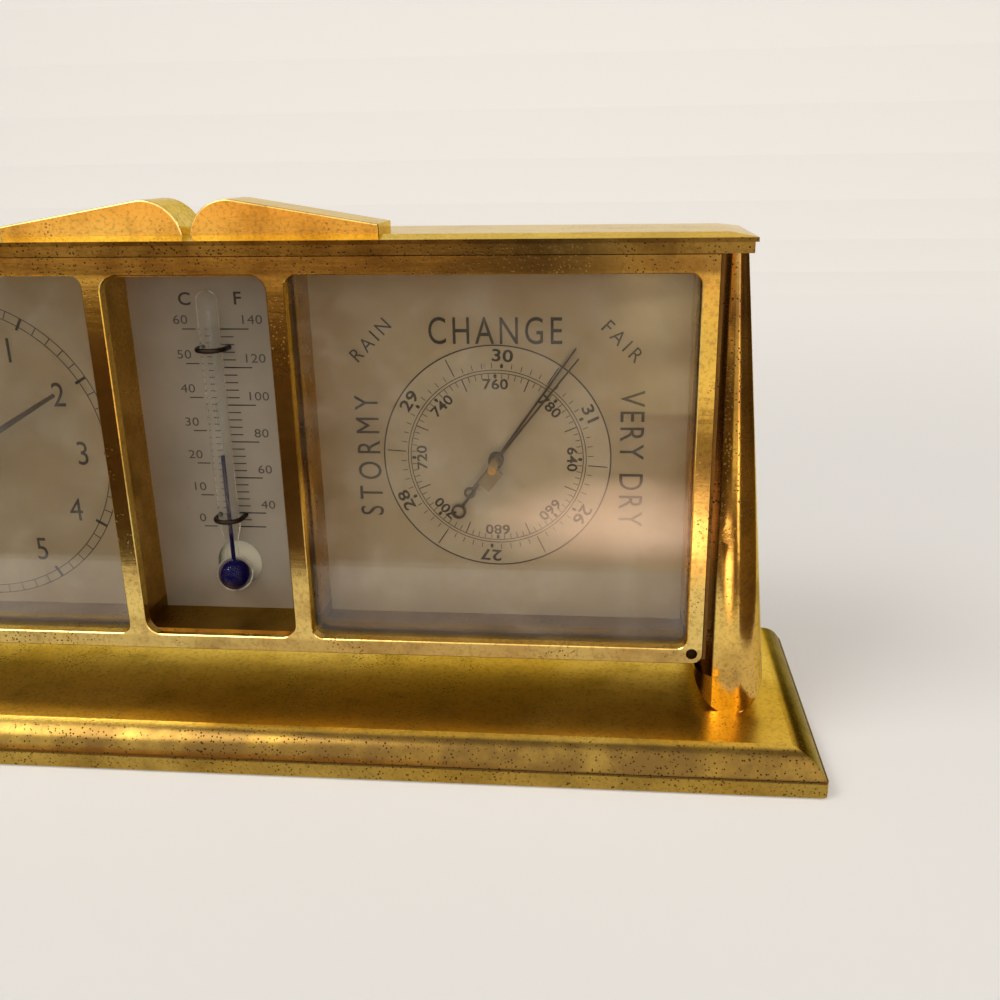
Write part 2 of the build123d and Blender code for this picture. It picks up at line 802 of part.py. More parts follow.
with BuildPart() as thermometer_tube:
    with BuildSketch(stem_plane):
        with BuildLine():
            bulb = ThreePointArc((0, bulb_z - bulb_radius), (bulb_radius, bulb_z), (neck_radius, shoulder_z))
            neck = Line(bulb @ 1, (neck_radius, neck_top))
            shoulder = Line(neck @ 1, (tube_radius, tube_shoulder))
            stem = Line(shoulder @ 1, (tube_radius, tube_top - tube_radius))
            dome = ThreePointArc(
                stem @ 1,
                (tube_radius * cos(radians(45)), tube_top - tube_radius + tube_radius * sin(radians(45))),
                (0, tube_top),
            )
            Line(dome @ 1, bulb @ 0)
        make_face()
    revolve(axis=stem_axis)
    with BuildSketch(stem_plane):
        with BuildLine():
            bowl_and_thread(0, tube_top - 2 * tube_radius)
        make_face()
    revolve(axis=stem_axis, mode=Mode.SUBTRACT)
save(thermometer_tube, "thermometer_tube")

with BuildPart() as thermometer_clips:
    for z in clip_heights:
        tail_y = front_y + dial_back + clip_tail
        bend_y = front_y + tube_depth
        with BuildLine() as wire:
            leg = Line((-clip_radius, tail_y, z), (-clip_radius, bend_y, z))
            bend = ThreePointArc(leg @ 1, (0, bend_y - clip_radius, z), (clip_radius, bend_y, z))
            Line(bend @ 1, (clip_radius, tail_y, z))
        with BuildSketch(Plane((-clip_radius, tail_y, z), z_dir=(0, -1, 0))):
            Circle(clip_wire / 2)
        sweep(path=wire.line)
save(thermometer_clips, "thermometer_clips")

# Bracket behind the scale plate: a bright sheet on two posts that stand on the rear cover
bracket_front = dial_back + bracket_gap
with BuildPart() as thermometer_bracket:
    slab(
        0, window_mid, bracket_front, bracket_front + bracket_thickness,
        centre_well_width - 2 * bracket_margin, well_height - 2 * bracket_margin,
    )
    for side in (-1, 1):
        rod(
            side * (centre_well_width / 2 - post_side_inset),
            window_mid + side * (well_height / 2 - post_end_inset),
            dial_back, case_depth, post_radius,
        )
save(thermometer_bracket, "thermometer_bracket")

# Clock movement: two plates on four pillars
def movement_plate(front, thickness):
    """A square plate with rounded corners around the clock's centre."""
    with BuildSketch(at_depth(front, clock_x, clock_z)) as outline:
        RectangleRounded(plate_size, plate_size, plate_corner)
    extrude(outline.sketch, amount=-thickness)


pillar_spots = [
    (clock_x + across * (plate_size / 2 - pillar_inset), clock_z + up * (plate_size / 2 - pillar_inset))
    for across in (-1, 1)
    for up in (-1, 1)
]
pivot_spots = (centre_spot, third_spot, fourth_spot, escape_spot, lever_spot, balance_spot)
pivot_hole = arbor_radius + running_fit
with BuildPart() as clock_front_plate:
    movement_plate(front_plate_depth, plate_thickness)
    for x, z in pivot_spots:
        rod(x, z, front_plate_depth, train_front, pivot_hole, Mode.SUBTRACT)
    rod(*barrel_spot, front_plate_depth, train_front, barrel_arbor_radius + running_fit, Mode.SUBTRACT)
    rod(*minute_wheel_spot, dial_back + side_play, front_plate_depth, arbor_radius)
save(clock_front_plate, "clock_front_plate")

with BuildPart() as clock_back_plate:
    movement_plate(back_plate_front, back_plate_thickness)
    for x, z in pivot_spots:
        rod(x, z, back_plate_front, case_depth, pivot_hole, Mode.SUBTRACT)
    rod(*barrel_spot, back_plate_front, case_depth, barrel_arbor_radius + running_fit, Mode.SUBTRACT)
save(clock_back_plate, "clock_back_plate")

with BuildPart() as clock_pillars:
    for x, z in pillar_spots:
        rod(x, z, train_front, back_plate_front, pillar_radius)
save(clock_pillars, "clock_pillars")

with BuildPart() as clock_dial_feet:
    for across in (-1, 1):
        for up in (-1, 1):
            rod(
                clock_x + across * (plate_size / 2 - dial_foot_inset),
                clock_z + up * (plate_size / 2 - dial_foot_inset),
                dial_back, front_plate_depth, dial_foot_radius,
            )
save(clock_dial_feet, "clock_dial_feet")

# Layers of the train between the plates
fourth_front = barrel_front
third_front = fourth_front + wheel_thickness + 3 * side_play
pivot_front = train_front - plate_thickness / 2
pivot_back = back_plate_front + back_plate_thickness / 2
barrel_tooth_height = pinion_length - 2 * side_play

centre_phase = 0.0
centre_pinion_phase = 0.0
cannon_phase = 0.0
with BuildPart() as centre_wheel:
    rod(*centre_spot, minute_hand_depth, cover_back + rear_reach + knob_length, arbor_radius)
    crossed_wheel(*centre_spot, centre_front, centre_teeth, centre_module, centre_phase)
    toothed(
        *centre_spot, barrel_front - side_play, pinion_length + side_play,
        centre_pinion_leaves, barrel_module, pinion_share, centre_pinion_phase,
    )
save(centre_wheel, "centre_wheel")

barrel_phase = mesh_phase(centre_pinion_phase, centre_pinion_leaves, barrel_teeth, barrel_angle)
with BuildPart() as mainspring_barrel:
    toothed(
        *barrel_spot, barrel_front, barrel_tooth_height, barrel_teeth, barrel_module, wheel_share, barrel_phase
    )
    rod(
        *barrel_spot, barrel_front, barrel_front + barrel_height,
        pitch_radius(barrel_teeth, barrel_module) - 2 * barrel_module,
    )
    rod(
        *barrel_spot, barrel_front, barrel_front + barrel_height,
        barrel_arbor_radius + running_fit, Mode.SUBTRACT,
    )
save(mainspring_barrel, "mainspring_barrel")

key_front = cover_back + rear_reach
with BuildPart() as winding_arbor:
    rod(*barrel_spot, pivot_front, key_front + key_hub_length, barrel_arbor_radius)
save(winding_arbor, "winding_arbor")

with BuildPart() as winding_key:
    rod(*barrel_spot, key_front, key_front + key_hub_length + key_wing_length, key_hub_radius)
    with BuildSketch(at_depth(key_front + key_hub_length, *barrel_spot)):
        SlotOverall(key_span, 2 * key_hub_radius)
    extrude(amount=-key_wing_length)
    with BuildSketch(at_depth(key_front + key_hub_length, *barrel_spot)):
        with Locations((0, key_blade), (0, -key_blade)):
            Rectangle(key_span, key_blade)
    extrude(amount=-key_wing_length, mode=Mode.SUBTRACT)
    rod(*barrel_spot, key_front, key_front + key_hub_length + key_wing_length, key_hub_radius)
    rod(*barrel_spot, key_front, key_front + key_hub_length, barrel_arbor_radius, Mode.SUBTRACT)
save(winding_key, "winding_key")

with BuildPart() as setting_knob:
    rod(*centre_spot, key_front, key_front + knob_length, knob_radius)
    for flute in range(knob_flutes):
        x, z = polar(*centre_spot, knob_radius, flute * 360 / knob_flutes)
        rod(x, z, key_front, key_front + knob_length, knob_flute_radius, Mode.SUBTRACT)
    rod(*centre_spot, key_front, key_front + knob_length, arbor_radius, Mode.SUBTRACT)
save(setting_knob, "setting_knob")

third_phase = mesh_phase(centre_phase, centre_teeth, third_pinion_leaves, third_angle)
with BuildPart() as third_wheel:
    rod(*third_spot, pivot_front, pivot_back, arbor_radius)
    toothed(
        *third_spot, centre_front - side_play, wheel_thickness + 2 * side_play,
        third_pinion_leaves, centre_module, pinion_share, third_phase,
    )
    crossed_wheel(*third_spot, third_front, third_teeth, centre_module, third_phase)
save(third_wheel, "third_wheel")

fourth_phase = mesh_phase(third_phase, third_teeth, fourth_pinion_leaves, fourth_angle)
with BuildPart() as fourth_wheel:
    rod(*fourth_spot, pivot_front, pivot_back, arbor_radius)
    toothed(
        *fourth_spot, third_front - side_play, wheel_thickness + 2 * side_play,
        fourth_pinion_leaves, centre_module, pinion_share, fourth_phase,
    )
    crossed_wheel(*fourth_spot, fourth_front, fourth_teeth, fourth_module, fourth_phase)
save(fourth_wheel, "fourth_wheel")

escape_phase = mesh_phase(fourth_phase, fourth_teeth, escape_pinion_leaves, escape_angle)
escape_front = third_front
with BuildPart() as escape_wheel:
    rod(*escape_spot, pivot_front, pivot_back, arbor_radius)
    toothed(
        *escape_spot, fourth_front - side_play, wheel_thickness + 2 * side_play,
        escape_pinion_leaves, fourth_module, pinion_share, escape_phase,
    )
    escape_points = []
    escape_root = 0.78 * escape_radius
    escape_lean = 0.30 * 360 / escape_teeth
    for tooth in range(escape_teeth):
        start = tooth * 360 / escape_teeth
        escape_points.append(polar(0, 0, escape_root, start - escape_lean))
        escape_points.append(polar(0, 0, escape_radius, start))
        escape_points.append(polar(0, 0, escape_root, start + escape_lean / 4))
    with BuildSketch(at_depth(escape_front, *escape_spot)):
        Polygon(*escape_points, align=None)
    extrude(amount=-wheel_thickness)
save(escape_wheel, "escape_wheel")

# Lever with two arms that hold the escape wheel, and a fork towards the balance
pallet_gap = lever_reach - escape_radius - side_play
with BuildPart() as pallet_lever:
    rod(*lever_spot, pivot_front, pivot_back, arbor_radius)
    with BuildSketch(at_depth(escape_front, *lever_spot, turn=90 - balance_angle)):
        Rectangle(2 * escape_radius, lever_width)
        with Locations((0, (balance_reach - lever_width) / 2)):
            Rectangle(lever_width, balance_reach - lever_width)
        Circle(hub_radius / 1.5)
    extrude(amount=-wheel_thickness)
save(pallet_lever, "pallet_lever")

balance_front = escape_front + wheel_thickness + 2 * side_play
with BuildPart() as balance_wheel:
    rod(*balance_spot, pivot_front, pivot_back, arbor_radius)
    with BuildSketch(at_depth(balance_front, *balance_spot)):
        Circle(balance_radius)
        Circle(balance_radius - lever_width, mode=Mode.SUBTRACT)
        Rectangle(2 * balance_radius - lever_width, lever_width)
        Circle(hub_radius / 1.5)
    extrude(amount=-2 * wheel_thickness)
save(balance_wheel, "balance_wheel")

def flat_spiral(x, z, front, collet, bore):
    """A flat spring of half circles that widen step by step, on a collet."""
    step = (hairspring_outer - collet) / (2 * hairspring_turns)
    with BuildSketch(at_depth(front, x, z)) as outline:
        with BuildLine() as coil:
            for half in range(2 * hairspring_turns):
                CenterArc((half % 2 * step, 0), collet + half * step, half % 2 * 180, 180)
        trace(coil.edges(), hairspring_wire)
        Circle(collet)
        Circle(bore, mode=Mode.SUBTRACT)
    extrude(outline.sketch, amount=-hairspring_thickness)


with BuildPart() as balance_hairspring:
    spring_front = balance_front + 2 * wheel_thickness
    flat_spiral(*balance_spot, spring_front, hairspring_collet, arbor_radius)
save(balance_hairspring, "balance_hairspring")

# Motion work between the dial and the front plate: 30/10 and 32/8 give the twelve to one of the hands
minute_wheel_phase = mesh_phase(cannon_phase, cannon_leaves, minute_wheel_teeth, minute_wheel_angle)
with BuildPart() as cannon_pinion:
    toothed(
        *centre_spot, motion_back_depth - side_play / 2, wheel_thickness + side_play,
        cannon_leaves, motion_module, pinion_share, cannon_phase,
    )
    rod(
        *centre_spot, minute_hand_depth - clock_hand_thickness,
        motion_back_depth + wheel_thickness, cannon_pipe_radius,
    )
    rod(*centre_spot, minute_hand_depth, front_plate_depth, arbor_radius, Mode.SUBTRACT)
save(cannon_pinion, "cannon_pinion")

minute_pinion_phase = minute_wheel_phase
pinion_towards_centre = minute_wheel_angle + 180
hour_phase = mesh_phase(minute_pinion_phase, minute_pinion_leaves, hour_wheel_teeth, pinion_towards_centre)
with BuildPart() as minute_wheel:
    toothed(
        *minute_wheel_spot, motion_back_depth, wheel_thickness,
        minute_wheel_teeth, motion_module, wheel_share, minute_wheel_phase,
    )
    toothed(
        *minute_wheel_spot, motion_front_depth, motion_back_depth - motion_front_depth,
        minute_pinion_leaves, motion_module, pinion_share, minute_pinion_phase,
    )
    rod(
        *minute_wheel_spot, motion_front_depth, motion_back_depth + wheel_thickness,
        arbor_radius + running_fit, Mode.SUBTRACT,
    )
save(minute_wheel, "minute_wheel")

with BuildPart() as hour_wheel:
    toothed(
        *centre_spot, motion_front_depth, wheel_thickness,
        hour_wheel_teeth, motion_module, wheel_share, hour_phase,
    )
    rod(*centre_spot, hour_hand_depth, motion_front_depth + wheel_thickness, hour_pipe_radius)
    rod(
        *centre_spot, hour_hand_depth, motion_front_depth + wheel_thickness,
        cannon_pipe_radius + running_fit, Mode.SUBTRACT,
    )
save(hour_wheel, "hour_wheel")


def baton_hand(depth, angle, length, pipe):
    """A slim hand that tapers to its tip, with a round boss on its pipe."""
    with BuildSketch(at_depth(depth, *centre_spot, turn=angle)) as outline:
        with BuildLine():
            Polyline(
                (-hand_width / 2, 0), (-hand_width / 4, length), (hand_width / 4, length), (hand_width / 2, 0),
                close=True,
            )
        make_face()
        Circle(pipe + hand_width)
        Circle(pipe, mode=Mode.SUBTRACT)
    extrude(outline.sketch, amount=-clock_hand_thickness)


with BuildPart() as hour_hand:
    baton_hand(hour_hand_depth, hour_hand_angle, hour_hand_length, hour_pipe_radius)
save(hour_hand, "hour_hand")

with BuildPart() as minute_hand:
    baton_hand(minute_hand_depth, minute_hand_angle, minute_hand_length, cannon_pipe_radius)
save(minute_hand, "minute_hand")

# Aneroid barometer behind its dial
def around_dial(reach):
    return [(dial_x + across * reach, dial_z + up * reach) for across in (-1, 1) for up in (-1, 1)]


aneroid_back = case_depth
aneroid_front = aneroid_back - barometer_plate_thickness
with BuildPart() as barometer_plate:
    with BuildSketch(at_depth(aneroid_front, dial_x, dial_z)):
        RectangleRounded(barometer_plate_size, barometer_plate_size, plate_corner)
    extrude(amount=-barometer_plate_thickness)
    rod(*adjuster_spot, aneroid_front, aneroid_back, adjuster_radius + running_fit, Mode.SUBTRACT)
save(barometer_plate, "barometer_plate")

with BuildPart() as barometer_pillars:
    for x, z in around_dial(barometer_plate_size / 2 - barometer_pillar_inset):
        rod(x, z, dial_back, aneroid_front, pillar_radius)
save(barometer_pillars, "barometer_pillars")

# Capsule: a sealed tin with ripples round its face and a post that the spring holds
capsule_front = spring_back + capsule_post_length
ripple_pitch = (capsule_radius - capsule_post_radius) / (capsule_rings + 1)
with BuildPart() as barometer_capsule:
    rod(dial_x, dial_z, capsule_front, aneroid_front, capsule_radius)
    for ring in range(capsule_rings):
        with Locations((dial_x, front_y + capsule_front, dial_z)):
            Torus(
                capsule_post_radius + (ring + 1) * ripple_pitch, capsule_ripple,
                rotation=(90, 0, 0), mode=Mode.SUBTRACT,
            )
    rod(dial_x, dial_z, spring_back, capsule_front, capsule_post_radius)
save(barometer_capsule, "barometer_capsule")

# Leaf spring: a foot on the plate beside the capsule, and a blade across it
spring_reach = capsule_radius + side_play
with BuildPart() as barometer_spring:
    slab(
        dial_x - spring_reach - spring_foot_length / 2, dial_z, spring_depth, aneroid_front,
        spring_foot_length, spring_width,
    )
    slab(
        dial_x - (spring_reach + spring_foot_length - spring_tongue) / 2, dial_z, spring_depth, spring_back,
        spring_reach + spring_foot_length + spring_tongue, spring_width,
    )
save(barometer_spring, "barometer_spring")

# Bridge over the capsule, which carries the arbor of the hand
with BuildPart() as barometer_bridge:
    slab(dial_x, dial_z, bridge_depth, bridge_back, bridge_width, bridge_span)
    for side in (-1, 1):
        slab(
            dial_x, dial_z + side * (bridge_span - bridge_leg) / 2, bridge_depth, aneroid_front,
            bridge_width, bridge_leg,
        )
    rod(dial_x, dial_z, bridge_depth, bridge_back, barometer_arbor_radius + running_fit, Mode.SUBTRACT)
save(barometer_bridge, "barometer_bridge")

with BuildPart() as barometer_arbor:
    rod(dial_x, dial_z, barometer_hand_depth - side_play, spring_depth - side_play, barometer_arbor_radius)
    rod(
        dial_x, dial_z, bridge_depth - running_fit - pulley_length, bridge_depth - running_fit, pulley_radius
    )
save(barometer_arbor, "barometer_arbor")


def ring_hand(depth, angle, length, tail, ring, bore):
    """A fine pointed hand with a ring at the end of its tail."""
    with BuildSketch(at_depth(depth, dial_x, dial_z, turn=angle)) as outline:
        with BuildLine():
            Polyline(
                (-fine_hand_width / 2, ring - ring_wire - tail), (-fine_hand_width / 4, length),
                (fine_hand_width / 4, length), (fine_hand_width / 2, ring - ring_wire - tail),
                close=True,
            )
        make_face()
        with Locations((0, -tail)):
            Circle(ring)
            Circle(ring - ring_wire, mode=Mode.SUBTRACT)
        Circle(hub_disc_radius)
        Circle(bore, mode=Mode.SUBTRACT)
    extrude(outline.sketch, amount=-fine_hand_thickness)


with BuildPart() as barometer_hand:
    ring_hand(
        barometer_hand_depth, barometer_hand_angle, barometer_hand_length,
        barometer_tail, barometer_ring_radius, barometer_arbor_radius,
    )
save(barometer_hand, "barometer_hand")

# Marker hand: set by hand, it turns on a fixed stud that stands on the inner side of the glass
stud_radius = barometer_arbor_radius
with BuildPart() as marker_stud:
    rod(dial_x, dial_z, glass_back, marker_depth + fine_hand_thickness + side_play, stud_radius)
save(marker_stud, "marker_stud")

with BuildPart() as marker_hand:
    ring_hand(
        marker_depth, marker_angle, marker_length, marker_tail, marker_ring_radius, stud_radius + running_fit
    )
    with BuildSketch(at_depth(marker_depth, dial_x, dial_z, turn=marker_angle)):
        with Locations((poise_side, -poise_offset)):
            Rectangle(poise_width, poise_length)
    extrude(amount=-fine_hand_thickness)
    rod(
        dial_x, dial_z, marker_depth, marker_depth + fine_hand_thickness,
        stud_radius + running_fit, Mode.SUBTRACT,
    )
save(marker_hand, "marker_hand")

# Rocker shaft and lever that carry the capsule's movement to the arbor
rocker_x = dial_x + bridge_width / 2 + side_play + rocker_length / 2
rocker_z = dial_z + rocker_offset
rocker_depth = spring_depth - rocker_radius - side_play
with BuildPart() as barometer_rocker:
    with Locations((rocker_x, front_y + rocker_depth, rocker_z)):
        Cylinder(rocker_radius, rocker_length, rotation=(0, 90, 0))
        Box(rocker_radius, rocker_radius, rocker_arm, align=(Align.CENTER, Align.CENTER, Align.MIN))
save(barometer_rocker, "barometer_rocker")

lever_pin_x = dial_x + spring_tongue + side_play + lever_pin_radius
with BuildPart() as barometer_lever:
    slab(
        dial_x + spring_tongue + side_play + lever_arm_length / 2, dial_z, spring_depth, spring_back,
        lever_arm_length, lever_width,
    )
    with Locations((lever_pin_x, front_y + spring_depth + spring_thickness / 2, dial_z)):
        Cylinder(lever_pin_radius, lever_pin_length)
save(barometer_lever, "barometer_lever")

with BuildPart() as barometer_hairspring:
    flat_spiral(dial_x, dial_z, dial_back + side_play, hairspring_collet, barometer_arbor_radius)
save(barometer_hairspring, "barometer_hairspring")

with BuildPart() as adjusting_screw:
    rod(*adjuster_spot, aneroid_front + side_play, cover_back - cover_thickness / 2, adjuster_radius)
    slab(
        *adjuster_spot, cover_back - cover_thickness / 2 - adjuster_slot, cover_back,
        2 * adjuster_radius, adjuster_slot, Mode.SUBTRACT,
    )
save(adjusting_screw, "adjusting_screw")
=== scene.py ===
import math

import bmesh
import bpy
from mathutils import Matrix, Vector


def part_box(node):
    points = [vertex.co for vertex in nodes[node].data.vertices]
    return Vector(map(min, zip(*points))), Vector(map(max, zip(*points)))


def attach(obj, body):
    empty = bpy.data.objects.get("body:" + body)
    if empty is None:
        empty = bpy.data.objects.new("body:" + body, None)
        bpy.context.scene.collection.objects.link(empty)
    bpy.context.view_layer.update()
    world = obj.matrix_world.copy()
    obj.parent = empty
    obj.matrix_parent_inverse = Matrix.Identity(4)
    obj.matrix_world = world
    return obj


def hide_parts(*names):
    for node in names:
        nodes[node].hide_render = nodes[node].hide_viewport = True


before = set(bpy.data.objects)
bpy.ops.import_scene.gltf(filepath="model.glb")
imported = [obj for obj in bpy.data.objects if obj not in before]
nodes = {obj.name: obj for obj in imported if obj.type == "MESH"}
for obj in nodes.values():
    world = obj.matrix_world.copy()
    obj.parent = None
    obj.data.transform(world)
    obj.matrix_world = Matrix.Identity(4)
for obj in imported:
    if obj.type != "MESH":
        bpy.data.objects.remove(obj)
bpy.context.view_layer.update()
print("frame loaded:", len(nodes), "nodes")

mm = 0.001
deg = math.radians
# front of the brass frame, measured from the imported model
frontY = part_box("front_frame")[0][1] / mm
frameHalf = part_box("front_frame")[1][0] / mm


def depthOf(name):
    # how far the front of a CAD piece lies behind the front of the frame, in mm
    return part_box(name)[0][1] / mm - frontY


def middleOf(name):
    # X and Z of the middle of a CAD piece, in mm
    low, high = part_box(name)
    return (low[0] + high[0]) / 2 / mm, (low[2] + high[2]) / 2 / mm


class Sock:
    # a shader socket that can be added, multiplied and so on

    def __init__(self, tree, socket):
        self.tree = tree
        self.socket = socket

    def node(self, kind, output=0, settings=None, **inputs):
        made = self.tree.nodes.new(kind)
        for key, value in (settings or {}).items():
            setattr(made, key, value)
        for key, value in inputs.items():
            name = key.replace("_", " ")
            numbered = name[0] == "i" and name[1:].isdigit()
            target = made.inputs[int(name[1:]) if numbered else name]
            if isinstance(value, Sock):
                self.tree.links.new(value.socket, target)
            else:
                target.default_value = value
        return Sock(self.tree, made.outputs[output])

    def maths(self, operation, first, second):
        return self.node("ShaderNodeMath", settings={"operation": operation}, i0=first, i1=second)

    def __add__(self, other):
        return self.maths("ADD", self, other)

    __radd__ = __add__

    def __sub__(self, other):
        return self.maths("SUBTRACT", self, other)

    def __rsub__(self, other):
        return self.maths("SUBTRACT", other, self)

    def __mul__(self, other):
        return self.maths("MULTIPLY", self, other)

    __rmul__ = __mul__

    def ramp(self, low, high):
        # smooth step from 0 at low to 1 at high
        return self.node(
            "ShaderNodeMapRange", settings={"interpolation_type": "SMOOTHSTEP"},
            Value=self, From_Min=low, From_Max=high,
        )

    def mixed(self, first, second):
        # colour between first and second, driven by this socket
        return self.node(
            "ShaderNodeMix", output=2, settings={"data_type": "RGBA"}, i0=self, i6=first, i7=second
        )


def startMaterial(name):
    made = bpy.data.materials.new(name)
    made.use_nodes = True
    tree = made.node_tree
    shader = tree.nodes["Principled BSDF"]
    coords = tree.nodes.new("ShaderNodeTexCoord")
    return made, tree, shader, Sock(tree, coords.outputs["Object"])


def feed(tree, shader, name, value):
    if isinstance(value, Sock):
        tree.links.new(value.socket, shader.inputs[name])
    else:
        shader.inputs[name].default_value = value


def noise(where, scale, detail=4.0, rough=0.55, stretch=None):
    if stretch:
        where = where.node("ShaderNodeMapping", Vector=where, Scale=stretch)
    return where.node("ShaderNodeTexNoise", Vector=where, Scale=scale, Detail=detail, Roughness=rough)


def bumped(where, height, strength, distance):
    return where.node("ShaderNodeBump", Height=height, Strength=strength, Distance=distance)


def axisOf(where, axis):
    apart = where.tree.nodes.new("ShaderNodeSeparateXYZ")
    where.tree.links.new(where.socket, apart.inputs[0])
    return Sock(where.tree, apart.outputs[axis])


# wear of the brass and painted shade in its groove: scales of the noises per metre, limits between which
# each shows, colours, shares, relief
wear = {
    "cloudScale": 38.0, "patchScale": 150.0, "wipeScale": 520.0, "wipeStretch": (0.10, 1.0, 1.0),
    "crowdScale": 95.0, "grainScale": 1900.0, "speckScale": 1900.0, "raggedScale": 2400.0,
    "unevenScale": 500.0,
    "cloud": (0.34, 0.66), "grimeAndShade": (0.47, 0.74), "grain": (0.45, 0.75),
    "speck": (0.40, 0.55), "crowd": (0.55, 0.72),
    "speckBrown": (0.030, 0.012, 0.004, 1), "slantYellow": (0.92, 0.80, 0.40, 1),
    "grainShare": 0.35, "speckShare": 0.92, "grooveShare": 0.97, "relief": 0.2, "reliefDepth": 0.00025,
}


def agedBrass(name, bright, deep, stainAndShade, pitting, grime, rough, shadeZones=(), satin=None, shadedGroove=None):
    # lacquered brass gone patchy: clouds of colour, brown specks in clusters, wiping marks
    # each zone is a band of height in mm, with its share and how softly it ends, painted darker toward the
    # stain colour as painted shade and painted dark reflections; satin is a height and the roughness above
    # it; up to the groove distance, in mm out from the middle, the piece gets painted shade
    made, tree, shader, where = startMaterial(name)
    cloud = noise(where, wear["cloudScale"], 3.0)
    patch = noise(where, wear["patchScale"], 5.0, 0.62)
    wipe = noise(where, wear["wipeScale"], 3.0, 0.5, wear["wipeStretch"])
    grain = noise(where, wear["grainScale"], 2.0)
    height = axisOf(where, "Z")
    paintedShade = 0.0
    # bands of height painted darker: painted shade and painted dark reflections
    for low, high, share, soft in shadeZones:
        above = height.ramp((low - soft) * mm, low * mm)
        below = 1.0 - height.ramp(high * mm, (high + soft) * mm)
        paintedShade = above * below * share + paintedShade
    cells = where.node("ShaderNodeTexVoronoi", Vector=where, Scale=wear["speckScale"])
    ragged = noise(where, wear["raggedScale"], 3.0, 0.6)
    uneven = noise(where, wear["unevenScale"], 2.0)
    few, many = wear["crowd"]
    crowd = noise(where, wear["crowdScale"], 4.0, 0.6)
    crowded = (crowd + paintedShade * 0.2).ramp(few - pitting, many - pitting)
    edges = cells + (ragged * 0.6 + uneven * 0.4) * 0.5
    specks = (1.0 - edges.ramp(*wear["speck"])) * crowded
    grimeAndShade = patch.ramp(*wear["grimeAndShade"]) * grime
    # the bands add painted shade and painted dark reflections to the random grime
    grimeAndShade = grimeAndShade + (1.0 - grimeAndShade) * paintedShade * (patch * 0.7 + 0.65)
    # painted shade on the part of the piece that lies in the groove beside the frame
    if shadedGroove:
        outward = where.maths("ABSOLUTE", axisOf(where, "X"), 0.0)
        inside = 1.0 - outward.ramp(shadedGroove * mm, (shadedGroove + 0.15) * mm)
        grimeAndShade = where.maths("MAXIMUM", grimeAndShade, inside * wear["grooveShare"])
    colour = cloud.ramp(*wear["cloud"]).mixed(bright, deep)
    # grime and painted shade pull the colour toward the dark stain colour
    colour = grimeAndShade.mixed(colour, stainAndShade)
    colour = (grain.ramp(*wear["grain"]) * wear["grainShare"]).mixed(colour, stainAndShade)
    colour = (specks * wear["speckShare"]).mixed(colour, wear["speckBrown"])
    polish = rough
    if satin:
        satinFrom, satinRough = satin
        polish = height.ramp((satinFrom - 0.3) * mm, satinFrom * mm) * (satinRough - rough) + rough
    relief = wipe * 0.3 + cloud * 0.5 + patch * 0.25 - specks * 0.15
    feed(tree, shader, "Base Color", colour)
    # brass keeps its yellow at a slant
    feed(tree, shader, "Specular Tint", wear["slantYellow"])
    feed(tree, shader, "Metallic", 1.0)
    feed(tree, shader, "Roughness", polish + grimeAndShade * 0.05 + specks * 0.3 + wipe * 0.05 + grain * 0.03)
    feed(tree, shader, "Normal", bumped(where, relief, wear["relief"], wear["reliefDepth"]))
    return made


def darker(colour, share):
    return tuple(c * share for c in colour[:3]) + (1,)


# works, screws and tin: brushing and a light shade
metalLook = {
    "brushScale": 900.0, "brushStretch": (1.0, 1.0, 0.15), "brushRough": 0.12, "relief": 0.1,
    "reliefDepth": 0.0001, "shadeScale": 120.0, "shade": (0.35, 0.7), "shadeDark": 0.72,
}


def plainMetal(name, colour, rough):
    made, tree, shader, where = startMaterial(name)
    brushed = noise(where, metalLook["brushScale"], 3.0, 0.6, metalLook["brushStretch"])
    shade = noise(where, metalLook["shadeScale"], 3.0).ramp(*metalLook["shade"])
    feed(tree, shader, "Base Color", shade.mixed(colour, darker(colour, metalLook["shadeDark"])))
    feed(tree, shader, "Metallic", 1.0)
    feed(tree, shader, "Roughness", rough + brushed * metalLook["brushRough"])
    feed(tree, shader, "Normal", bumped(where, brushed, metalLook["relief"], metalLook["reliefDepth"]))
    return made


# paint, silvered sheet and felt: a light mottle and a few stains
coatLook = {
    "softScale": 60.0, "soft": (0.3, 0.72), "mark": (0.66, 0.74), "markShare": 0.35, "markDark": 0.55,
    "mottleRough": 0.15, "relief": 0.08, "reliefDepth": 0.0001,
}


def coated(name, colour, shade, rough, metallic, mottle=300.0):
    made, tree, shader, where = startMaterial(name)
    soft = noise(where, coatLook["softScale"], 4.0).ramp(*coatLook["soft"])
    speck = noise(where, mottle, 5.0, 0.7)
    mark = speck.ramp(*coatLook["mark"]) * coatLook["markShare"]
    tint = mark.mixed(soft.mixed(colour, shade), darker(shade, coatLook["markDark"]))
    feed(tree, shader, "Base Color", tint)
    feed(tree, shader, "Metallic", metallic)
    feed(tree, shader, "Roughness", rough + speck * coatLook["mottleRough"])
    feed(tree, shader, "Normal", bumped(where, speck, coatLook["relief"], coatLook["reliefDepth"]))
    return made


# window panes and the tube: polish, and dust on them
glassLook = {
    "polish": 0.03, "dustScale": 140.0, "dust": (0.4, 0.8), "leastDust": 0.1,
    "dustGrey": (0.75, 0.70, 0.63, 1),
}


